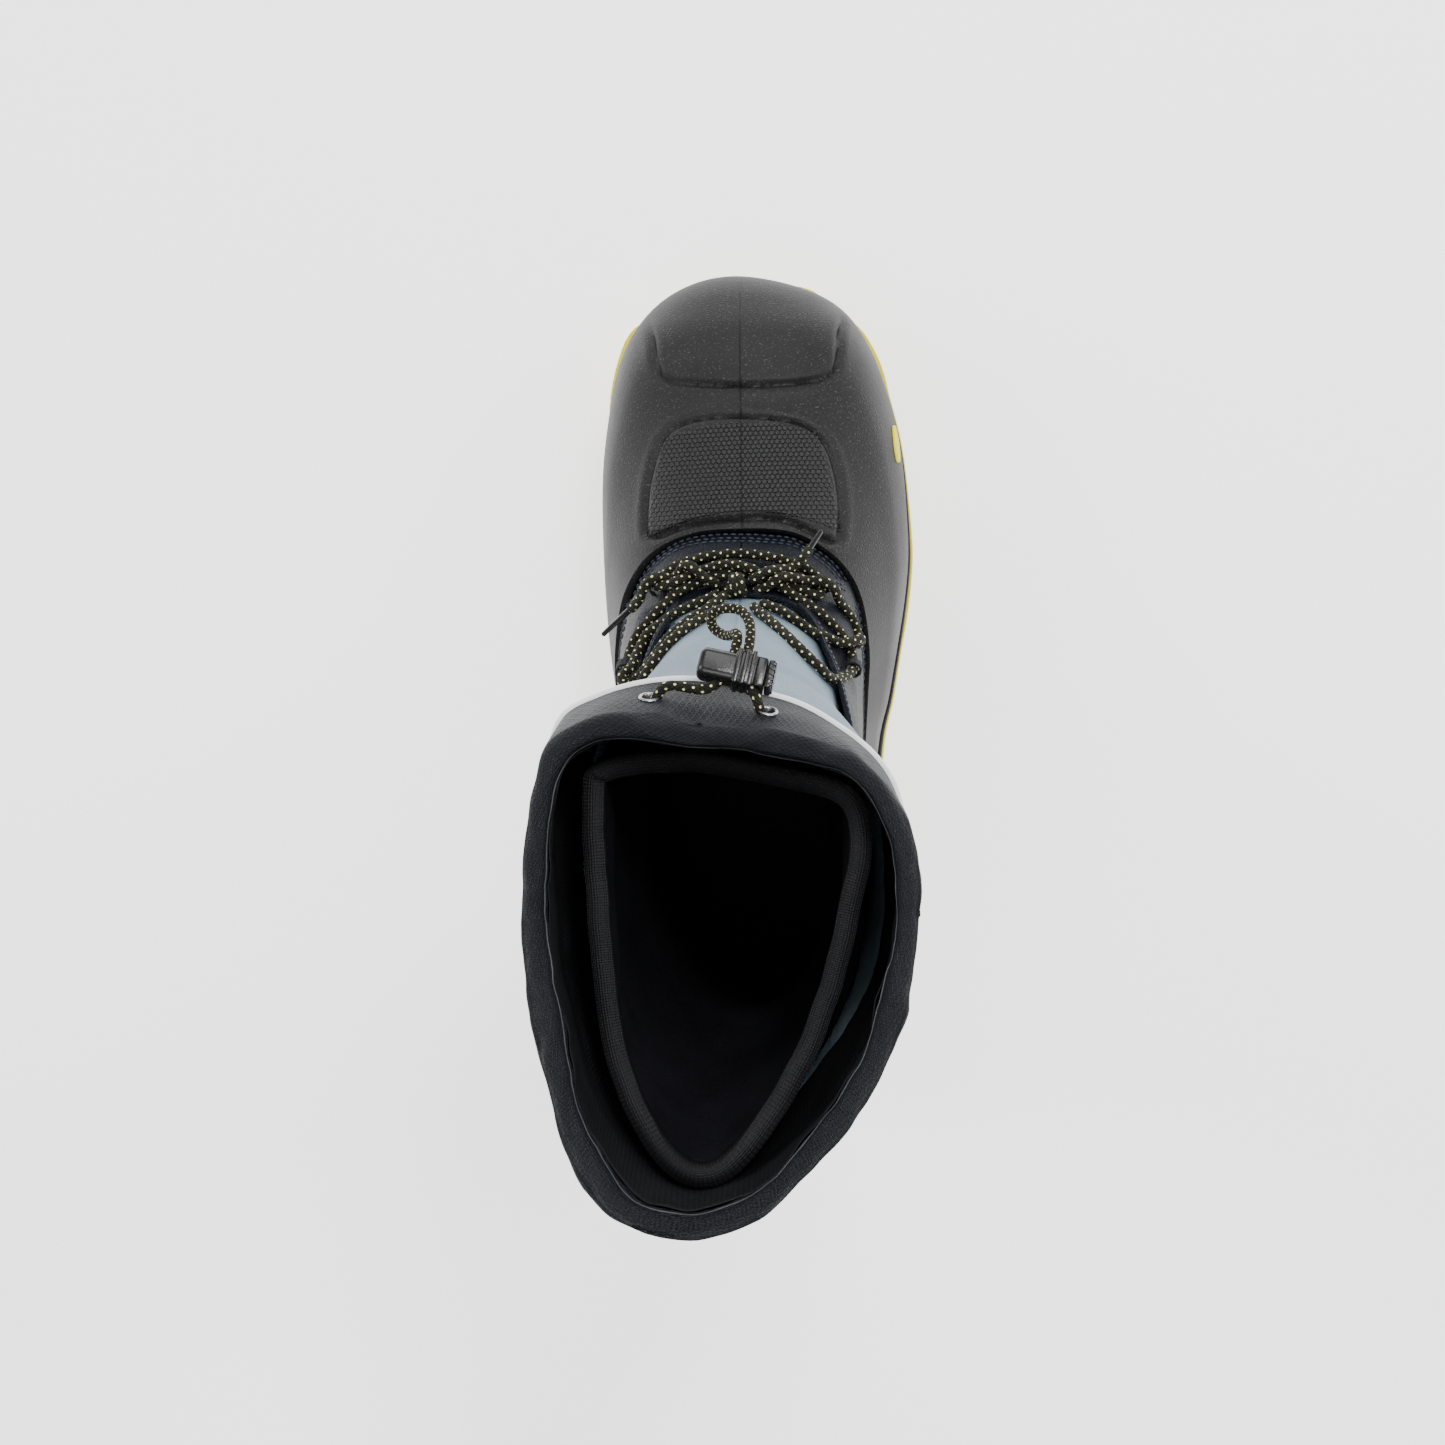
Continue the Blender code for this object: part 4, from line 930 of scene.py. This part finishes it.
# ---- felt liner ---------------------------------------------------------------------------------
# The liner is a thick felt sock, sewn up the back, that lifts out of the boot. Its top edge is
# bound with a flat tape, and its foot holds a foam footbed.

LINER_WALL = 6.5 * MM
LINER_TOP_CENTRE = (-1, 88)
LINER_TOP = [
    (10, 20, 291), (40, 23, 294), (45.5, 33, 297), (45.5, 67, 300), (43, 101, 301),
    (36, 133, 305), (25, 154, 310), (11, 161.5, 313), (-3, 157, 311), (-20, 136, 306),
    (-38, 98, 301), (-47.5, 62, 300), (-48.5, 46, 298), (-42, 33, 295), (-20, 26, 292),
]


def liner_rings():
    """The liner's outer surface: its sole, the foot, and the leg up to the binding."""
    seat = inset(SHELL, SHELL_WALL + 2.4 * MM)
    base = seat[1].copy()
    base[:, 2] = 20 * MM + SHELL_WALL + 1.5 * MM
    upper = inset(leather_rings(), LEATHER + 1.5 * MM)
    ankle = inset(shaft_rings(), NYLON + 1.3 * MM)
    low = ring(SHAFT_LOW, SHAFT_LOW_CENTRE, shrink=5 * MM)
    mid = ring(SHAFT_MID, SHAFT_MID_CENTRE, shrink=7 * MM)
    top = ring(LINER_TOP, LINER_TOP_CENTRE)
    foot = [base, seat[2], seat[4], seat[5], seat[7], upper[0], upper[1]]
    return np.array([*foot, ankle[0], ankle[1], low, mid, mid + (top - mid) * 0.5, top])


FELT = mottled("felt", (0.0028, 0.0028, 0.0045), (0.0052, 0.0052, 0.0078), (0.014, 0.014, 0.018),
               45, 2400, 0.9, 0.0005, gloss=0.1)
BINDING = woven("binding", (0.0028, 0.003, 0.0042), (0.0055, 0.0058, 0.0075), (0.015, 0.016, 0.019),
                0.0009, 0.6, 0.0002)
liner_places = np.concatenate([np.linspace(0, 11, 80, endpoint=False), np.linspace(11, 12, 14)])
liner = between(liner_rings(), liner_places)
soft = rumpled(liner, 40 * MM, 1.6 * MM, 3)
liner = liner + (soft - liner) * eased(liner_places, 8, 9.5)[:, None, None]
felt_mesh = skin(liner[liner_places <= 11.86])
bottom_edges = [e for e in felt_mesh.edges if e.is_boundary
                and max(v.co.z for v in e.verts) < 0.06]
bmesh.ops.holes_fill(felt_mesh, edges=bottom_edges, sides=0)
item = piece("felt_liner", felt_mesh, FELT, ["felt_liner"], wall=LINER_WALL)

# The binding wraps the liner's edge, with a rounded top.
bound_rows = liner_places > 11.78
bound = inset(liner, -0.3 * MM)[bound_rows]
inner_bound = inset(liner, LINER_WALL + 0.5 * MM)[bound_rows][::-1]
crown = [(1 - share) * bound[-1] + share * inner_bound[0] + np.array([0, 0, rise * MM])
         for share, rise in ((0.2, 1.1), (0.5, 1.6), (0.8, 1.1))]
rows = np.concatenate([bound, crown, inner_bound])
piece("liner_binding", skin(rows), BINDING, ["liner_binding"], wall=0.7 * MM)

FOAM = mottled("foam", (0.006, 0.006, 0.008), (0.010, 0.010, 0.013), (0.02, 0.02, 0.024), 60, 1800,
               0.85, 0.0003)
insole = inset(liner_rings(), LINER_WALL + 1.2 * MM)[1]
away = insole[:, :2] - np.array([0, 20 * MM])
away /= np.linalg.norm(away, axis=1, keepdims=True)
rows = []
for shrink, z in ((1.5, 31.6), (0.3, 32.2), (0, 34), (0.3, 35.8), (1.5, 36.6)):
    row = insole.copy()
    row[:, :2] -= away * shrink * MM
    row[:, 2] = z * MM
    rows.append(row)
item = piece("footbed", closed_off(skin(rows)), FOAM, ["footbed"])

# ---- eyelets ------------------------------------------------------------------------------------
# Two rolled metal eyelets are pressed through the front of the collar, where the drawcord comes
# out of its hem.

EYELET_METAL = mottled("eyelet_metal", (0.32, 0.32, 0.34), (0.42, 0.42, 0.44),
                       (0.5, 0.5, 0.5), 200, 2500, 0.3, 0.00003, metallic=1.0)
EYELET_PROFILE = [(2.3, -3.1), (3.6, -3.1), (3.6, -2.6), (2.7, -2.6), (2.7, 0.7), (3.3, 0.8),
                  (3.45, 1.1), (3.2, 1.45), (2.9, 1.55), (2.5, 1.4), (2.3, 1.0)]
EYELETS = {
    "medial": ((22.0, 2.1, 304.0), (-0.065, -0.904, 0.423)),
    "lateral": ((-17.0, 8.1, 304.0), (-0.187, -0.888, 0.42)),
}
for side, (place, facing) in EYELETS.items():
    mesh = bmesh.new()
    corners = [mesh.verts.new((r * MM, 0, z * MM)) for r, z in EYELET_PROFILE]
    edges = [mesh.edges.new(pair) for pair in zip(corners, [*corners[1:], corners[0]])]
    bmesh.ops.spin(mesh, geom=[*corners, *edges], cent=(0, 0, 0), axis=(0, 0, 1),
                   angle=2 * math.pi, steps=32, use_merge=True)
    bmesh.ops.remove_doubles(mesh, verts=mesh.verts, dist=0.001 * MM)
    bmesh.ops.recalc_face_normals(mesh, faces=mesh.faces)
    stand = Vector(facing).to_track_quat("Z", "Y").to_matrix().to_4x4()
    bmesh.ops.transform(mesh, matrix=Matrix.Translation(Vector(place) * MM) @ stand,
                        verts=mesh.verts)
    piece(f"eyelet_{side}", mesh, EYELET_METAL, [f"eyelet_{side}"],
          sharp=60)

# ---- cord lock ----------------------------------------------------------------------------------
# The lock is a black plastic barrel with a push button and a steel spring. Both strands of the
# cord run through it. The barrel and the button are solid blocks that overlap, without bores.

LOCK_PLASTIC = mottled("lock_plastic", (0.005, 0.005, 0.0055), (0.009, 0.009, 0.010),
                       (0.016, 0.016, 0.016), 120, 2200, 0.24, 0.00004, gloss=0.5)
STEEL = mottled("steel", (0.5, 0.5, 0.5), (0.62, 0.62, 0.62), (0.7, 0.7, 0.7), 300, 3000,
                0.28, 0.00002, metallic=1.0)
LOCK_FRAME = Matrix(((-0.969, 0.0845, -0.2321, -0.0072), (0.247, 0.3314, -0.9106, -0.0065),
                     (0.0, -0.9397, -0.342, 0.302), (0, 0, 0, 1)))


def lock_part(mesh, x, y, z, radius, steps=3):
    """A block with rounded edges in the lock's own axes, from (low, high) pairs in mm."""
    size = Vector([pair[1] - pair[0] for pair in (x, y, z)]) * MM
    middle = Vector([(pair[1] + pair[0]) / 2 for pair in (x, y, z)]) * MM
    made = bmesh.new()
    bmesh.ops.create_cube(made, size=1)
    bmesh.ops.scale(made, vec=size, verts=made.verts)
    bmesh.ops.translate(made, vec=middle, verts=made.verts)
    bmesh.ops.bevel(made, geom=made.edges, offset=radius * MM, segments=steps, affect="EDGES",
                    profile=0.5, material=-1)
    bmesh.ops.transform(made, matrix=LOCK_FRAME, verts=made.verts)
    held = bpy.data.meshes.new("part")
    made.to_mesh(held)
    made.free()
    mesh.from_mesh(held)
    bpy.data.meshes.remove(held)


barrel = bmesh.new()
lock_part(barrel, (-13.2, 3.0), (-4.7, 4.7), (-5.2, 5.2), 2.9, 8)
lock_part(barrel, (-1.0, 6.6), (-4.9, 4.8), (-5.5, 5.5), 0.8)
for x in (0.4, 2.8, 5.2):
    lock_part(barrel, (x - 0.8, x + 0.8), (-6.0, 4.0), (-6.2, 6.2), 0.55)
lock_part(barrel, (6.2, 9.95), (-4.5, 4.5), (-5.3, 5.3), 0.9)
piece("cord_lock_body", barrel, LOCK_PLASTIC, ["cord_lock_body"], body="cord_lock",
      sharp=40)
button = bmesh.new()
lock_part(button, (-7.4, 9.6), (-2.6, 2.6), (-3.1, 3.1), 0.3)
lock_part(button, (10.15, 12.4), (-4.2, 4.2), (-5.0, 5.0), 0.7)
for z in (-3.6, -1.8, 0.0, 1.8, 3.6):
    lock_part(button, (10.6, 12.9), (-4.4, 4.4), (z - 0.5, z + 0.5), 0.3, 2)
piece("cord_lock_button", button, LOCK_PLASTIC, ["cord_lock_button"], body="lock_button",
      sharp=40)

SPRING_TURNS, SPRING_STEPS, SPRING_RADIUS = 3, 24, 1.9
helix = []
for k in range(SPRING_STEPS * SPRING_TURNS + 1):
    angle = 2 * math.pi * k / SPRING_STEPS
    along = -11.9 + 4.2 * k / (SPRING_STEPS * SPRING_TURNS)
    coil = Vector((along, SPRING_RADIUS * math.cos(angle), SPRING_RADIUS * math.sin(angle)))
    helix.append(LOCK_FRAME @ (coil * MM))
spring = piece("cord_lock_spring", capped(np.array(helix), 0.2 * MM, 8), STEEL,
               ["cord_lock_spring"], body="cord_lock")
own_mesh(spring)

# ---- drawcord -----------------------------------------------------------------------------------
# A round braided cord runs in the collar's hem, comes out through both eyelets, passes through
# the cord lock and ends in a loop that hangs in front of it.

CORD_RADIUS = 1.7 * MM
DRAWCORD_LINE = [
    (-5, -6.6, 302.2), (3, -0.8, 304.6), (15.8, -2.2, 305.4), (22.3, 5, 302.7), (30, 9.1, 310),
    (41.1, 11.7, 315), (51.5, 18.8, 316.6), (56.4, 30.4, 318.9), (58.6, 42.9, 321.2),
    (60, 55.6, 322.7), (60.5, 68.5, 323.1), (60.2, 81.3, 324.1), (58.9, 94, 325.9),
    (56.9, 106.7, 327.3), (54.4, 119.3, 328.4), (51.9, 131.9, 329.4), (47.8, 144.1, 330.4),
    (41.4, 155.1, 331.4), (32.9, 164.5, 332.3), (21.3, 170.2, 332.8), (8.5, 170.5, 332.8),
    (-3.8, 167.5, 332.6), (-15.1, 161.3, 332.1), (-24.4, 152.4, 331.5), (-33.1, 143, 330.8),
    (-41.1, 132.9, 329.8), (-47.8, 122, 328.3), (-53, 110.3, 327), (-56.6, 98, 326.1),
    (-59.4, 85.4, 325.2), (-61.1, 72.7, 324.1), (-61.3, 59.9, 322.7), (-58.8, 47.5, 320.5),
    (-53.4, 36.2, 317.6), (-45.2, 26.9, 314.4), (-33.9, 21.1, 312.9), (-21.5, 17.6, 312.2),
    (-16.3, 12.5, 302.4), (-13.6, 2.8, 305.6), (-9.2, -5.5, 302.2),
]
LOOP_LINE = [
    (-9.3, -6.1, 302), (-10.5, -10.8, 300.2), (-11.7, -15.6, 298.4), (-12, -20.1, 295.8),
    (-11, -24.1, 292.5), (-8.2, -27.1, 289.6), (-3.4, -27.9, 287.7), (1.1, -26.6, 285.5),
    (1.4, -22.3, 283.4), (-2, -19.3, 285.4), (-5, -18.7, 289.6), (-7.1, -19.1, 294.4),
    (-7.6, -16.7, 298.3), (-6.4, -11.9, 300.2), (-5.1, -7.1, 302),
]


def make_flecks():
    """A braid of slanting strands, with pale tracer flecks in a staggered lattice."""
    tree, given, made = shader_group(
        "flecks", {"Vector": "Vector", "Girth": "Float", "Pitch": "Float"},
        {"Fleck": "Float", "Height": "Float"})
    across, along, _ = split(given["Vector"])
    v = along / given["Pitch"] + 50.0
    u = across / given["Girth"] * 4.0
    du = maths("FRACT", u + maths("FLOOR", v) * 0.5) - 0.5
    dv = maths("FRACT", v) - 0.5
    fleck = 1 - maths("SQRT", du * du + dv * dv).stepped(0.13, 0.185)
    first, second = (maths("SINE", slanting * (2 * math.pi)) for slanting in (u + v, u - v))
    feed(fleck, made["Fleck"])
    feed(maths("ABSOLUTE", first * second) + fleck * 0.6, made["Height"])
    return tree


FLECKS = make_flecks()
PALE_YELLOW = (0.98, 0.96, 0.46)


def braided(name, radius, pitch):
    """Black braided cord with pale yellow flecks."""
    made = mottled(name, (0.006, 0.006, 0.004), (0.016, 0.0155, 0.010), (0.035, 0.033, 0.02),
                   300, 4000, 0.7, 0.0001)
    braid = node_at(coordinates(made, "UV"), "Group", FLECKS, Girth=2 * math.pi * radius,
                    Pitch=pitch).outputs
    relief(made, Value(braid["Height"]), 0.0005)
    painted(made, Value(braid["Fleck"]), PALE_YELLOW)
    return made


DRAWCORD_BRAID = braided("drawcord_braid", CORD_RADIUS, 0.0030)
LOOP_BRAID = braided("loop_braid", CORD_RADIUS, 0.0013)


def cord_line(points, spacing=1.0 * MM):
    """Even places along a smooth curve through points in millimetres, and its length; metres."""
    line = smooth_line(points, 16) * MM
    along = np.concatenate([[0], np.cumsum(np.linalg.norm(np.diff(line, axis=0), axis=1))])
    at = np.linspace(0, along[-1], int(along[-1] / spacing) + 1)
    return np.stack([np.interp(at, along, line[:, k]) for k in range(3)], axis=1), along[-1]


line, _ = cord_line(DRAWCORD_LINE)
piece("drawcord", capped(line, CORD_RADIUS), DRAWCORD_BRAID, ["drawcord"])
line, long = cord_line(LOOP_LINE, 0.7 * MM)
item = piece("drawcord_loop", capped(line, CORD_RADIUS), LOOP_BRAID, ["drawcord_loop"])

# ---- lace ---------------------------------------------------------------------------------------
# The lace is the same braid, a little thicker. It crosses the throat under webbing keepers, is
# tied in a bow with one loop to each side, and ends in two glossy plastic tips.

LACE_RADIUS = 1.9 * MM
LACE_BRAID = braided("lace_braid", LACE_RADIUS, 0.0026)
LACE_LINES = {
    "lace_rows": [
        (5.3, -39.5, 151.8), (11.8, -34.2, 159.6), (19, -29.2, 166.9), (26.8, -22.2, 171.6),
        (33.7, -13.3, 171.6), (40.5, -7.3, 165.3), (43.9, -11.4, 155.9), (42.9, -18.6, 147.2),
        (39.2, -26.7, 144.4), (31.3, -35, 144.8), (22.9, -42.3, 142.3), (12.1, -45.9, 140.7),
        (1, -48.1, 139.3), (-10.4, -47.1, 139.1), (-20.6, -42.2, 140.9), (-30.1, -38.9, 138.5),
        (-29.1, -46.6, 131.6), (-19.2, -52.3, 130.9), (-8.2, -55.4, 131), (3.2, -56.6, 130.4),
        (14.6, -55.6, 130.1), (25.6, -52.4, 129.7), (32.8, -45.7, 133.4), (27.5, -44.9, 142.6),
        (17.5, -48.6, 141.6), (6.7, -51.7, 140.6), (-4.2, -49.9, 142.9), (-13.7, -43.6, 143.5),
        (-23.1, -37.1, 144.6), (-32, -30.3, 145.5), (-39, -22, 145), (-41.9, -15.8, 147.1),
        (-42.5, -9.3, 156.3), (-39.1, -6.3, 165.7), (-35.3, -5.6, 176.2), (-30.9, -9.7, 185.7),
        (-23.4, -17.6, 184.9), (-16.9, -24.3, 178.3), (-11.3, -29.5, 169.8), (-6.2, -34.2, 160.6),
    ],
    "lace_bow_lateral": [
        (-6.2, -40.9, 146.4), (-11.1, -42.4, 147.1), (-16, -45.7, 147), (-21.2, -45.5, 143.8),
        (-26.1, -44.4, 140.3), (-32.2, -43.8, 140.3), (-36.2, -40.9, 137.6), (-37.5, -37.1, 132.8),
        (-40.1, -33, 129.1), (-42.8, -28.2, 126.3), (-44.1, -22.7, 127.4), (-44, -19.8, 132.8),
        (-45, -19.7, 138.8), (-45.6, -21.1, 144.7), (-42, -19.9, 149.4), (-37.7, -19.6, 152.2),
        (-34, -21.5, 155.1), (-29.1, -23.2, 157.9), (-24.5, -26.6, 160.1), (-19.5, -30.2, 159.8),
        (-14.4, -33.3, 158.1), (-9.1, -35.6, 156.1),
    ],
    "lace_bow_medial": [
        (7.8, -40.2, 149.7), (13.4, -37.8, 151.3), (19.3, -35.6, 152.2), (25, -33, 152),
        (30.2, -29.7, 150.6), (35.3, -26, 150.4), (38.1, -20.9, 152.7), (39.9, -16.6, 156.4),
        (41, -13, 161.4), (44.2, -10, 165.7), (42.7, -5.3, 168.6), (38.5, -4.1, 172.8),
        (36.9, -5, 178.8), (35, -7.6, 184), (31.8, -12.8, 182.9), (28.4, -17.5, 180.4),
        (24.3, -22, 178.3), (20, -25.6, 175.4), (15.8, -28.6, 171.8), (11.5, -31.1, 167.9),
        (7.1, -33.3, 163.9),
    ],
    "lace_tail_medial": [
        (7.9, -43.4, 143.2), (10.5, -45.2, 145), (13.6, -47.2, 145.4), (16.2, -49.9, 145.6),
        (18.9, -51.9, 144.3), (21.5, -51.5, 141.8), (23.4, -49.3, 139.5), (26, -47.4, 138),
        (29.4, -48.2, 139.3), (32.6, -47.7, 140.7), (35.7, -45.7, 140.1), (37.6, -43.2, 138.2),
        (38.8, -40.8, 135.6), (40.7, -38.6, 133.3), (43.1, -36.7, 131.1),
    ],
    "lace_tail_lateral": [
        (-4.6, -44.9, 146.6),
        (-6, -45.5, 146.9), (-7.8, -46.5, 147.5), (-9.6, -47.5, 147.5), (-11.4, -48.3, 146.6),
        (-12.9, -48.7, 145.2), (-14.3, -48.9, 143.6), (-15.7, -49.1, 142), (-17, -49.2, 140.4),
        (-18.4, -49.3, 138.7), (-20, -49.7, 137.4), (-21.6, -50.7, 136.7), (-23.2, -52.1, 136.3),
        (-24.6, -53.7, 135.8), (-25.8, -55.2, 134.9), (-26.8, -56.6, 133.7),
    ],
}
AGLET_PLASTIC = mottled("aglet_plastic", (0.008, 0.008, 0.008), (0.015, 0.015, 0.015),
                        (0.03, 0.03, 0.03), 100, 2000, 0.2, 0.00003)
AGLET_LINES = {
    "medial": [(43.4, -36.5, 130.9), (47.3, -33.6, 127.6), (51.3, -30.7, 124.1),
               (55.2, -27.7, 120.7)],
    "lateral": [(-26.9, -56.9, 133.5), (-28.4, -59.2, 131.6), (-29.9, -61.5, 129.7),
                (-31.4, -63.8, 127.8)],
}
for side, points in AGLET_LINES.items():
    line, _ = cord_line(points, 0.5 * MM)
    taper = [0.5, *np.linspace(1.0, 0.8, len(line)), 0.45]
    ends = np.vstack([line[0] + (line[0] - line[1]) * 0.3, line, line[-1] + (line[-1] - line[-2])])
    piece(f"aglet_{side}", closed_off(skin(tube_grid(ends, 1.25 * MM, 12, taper))),
                       AGLET_PLASTIC, [f"aglet_{side}"])
for name, points in LACE_LINES.items():
    line, long = cord_line(points)
    item = piece(name, capped(line, LACE_RADIUS), LACE_BRAID, [name])
    if "rows" in name:
        continue
    tail = "tail" in name

# The knot is two turns of the lace round its own middle.
KNOT = Vector((1.1, -43.3, 147.7))
turns = []
for k in range(34):
    angle = 2 * math.pi * k / 15
    x = -2.6 + 5.2 * k / 33
    turns.append((KNOT.x + x, KNOT.y + 3.0 * math.cos(angle), KNOT.z + 2.7 * math.sin(angle)))
line, _ = cord_line(turns, 0.6 * MM)
piece("lace_knot", capped(line, LACE_RADIUS), LACE_BRAID, ["lace_knot"])

# ---- keepers ------------------------------------------------------------------------------------
# Four loops of black webbing are sewn beside the throat and hold the lace against the leather.

WEBBING = mottled("webbing", (0.006, 0.0065, 0.008), (0.013, 0.0135, 0.016), (0.03, 0.03, 0.036),
                  300, 2600, 0.7, 0.0003)
for place in ("medial_low", "lateral_low", "medial_high", "lateral_high"):
    dressed(f"keeper_{place}", WEBBING)

# ---- floor, light and camera ---------------------------------------------------------------------
# The boot stands on a plain pale floor under five soft lights, and is seen from nearly straight
# above.

floor_mesh = bmesh.new()
bmesh.ops.create_grid(floor_mesh, x_segments=1, y_segments=1, size=4)
floor_data = bpy.data.meshes.new("floor")
floor_mesh.to_mesh(floor_data)
floor_mesh.free()
floor = bpy.data.objects.new("floor", floor_data)
bpy.context.scene.collection.objects.link(floor)
pale = bpy.data.materials.new("pale_floor")
pale.use_nodes = True
for label, value in (("Base Color", (0.93, 0.93, 0.93)), ("Roughness", 0.9),
                     ("Emission Color", (1, 1, 1)), ("Emission Strength", 1.5)):
    feed(value, pale.node_tree.nodes["Principled BSDF"].inputs[label])
floor_data.materials.append(pale)

world = bpy.data.worlds.new("studio")
world.use_nodes = True
for label, value in (("Color", (1, 1, 1)), ("Strength", 0.36)):
    feed(value, world.node_tree.nodes["Background"].inputs[label])
bpy.context.scene.world = world


def soft_light(name, place, aim, size, power):
    """A square area light that faces a point."""
    lamp = bpy.data.lights.new(name, "AREA")
    lamp.size = size
    lamp.energy = power
    item = bpy.data.objects.new(name, lamp)
    item.location = place
    item.rotation_euler = (Vector(aim) - Vector(place)).to_track_quat("-Z", "Y").to_euler()
    bpy.context.scene.collection.objects.link(item)


soft_light("left", (1.3, -0.5, 1.2), (0, -0.03, 0.1), 0.7, 13)
soft_light("right", (-1.3, -0.5, 1.2), (0, -0.03, 0.1), 0.7, 13)
soft_light("toe", (0.0, -1.5, 1.3), (0, -0.05, 0.1), 1.0, 12)
soft_light("top", (0.2, 0.6, 1.9), (0, 0, 0.1), 0.8, 8)
soft_light("front", (-0.35, -0.55, 1.5), (-0.01, -0.12, 0.08), 0.35, 13)

SENSOR_WIDTH = 36
FOCAL_SHARE = 3053.945 / 1445  # the focal length as a share of the frame's width
lens = bpy.data.cameras.new("camera")
lens.sensor_width = SENSOR_WIDTH
lens.lens = FOCAL_SHARE * SENSOR_WIDTH
camera = bpy.data.objects.new("camera", lens)
camera.matrix_world = Matrix(((-0.99716, -0.03798, -0.06504, -0.067522),
                              (0.03738, -0.99925, 0.01046, 0.020949),
                              (-0.06538, 0.008, 0.99783, 1.308285), (0, 0, 0, 1)))
bpy.context.scene.collection.objects.link(camera)
bpy.context.scene.camera = camera
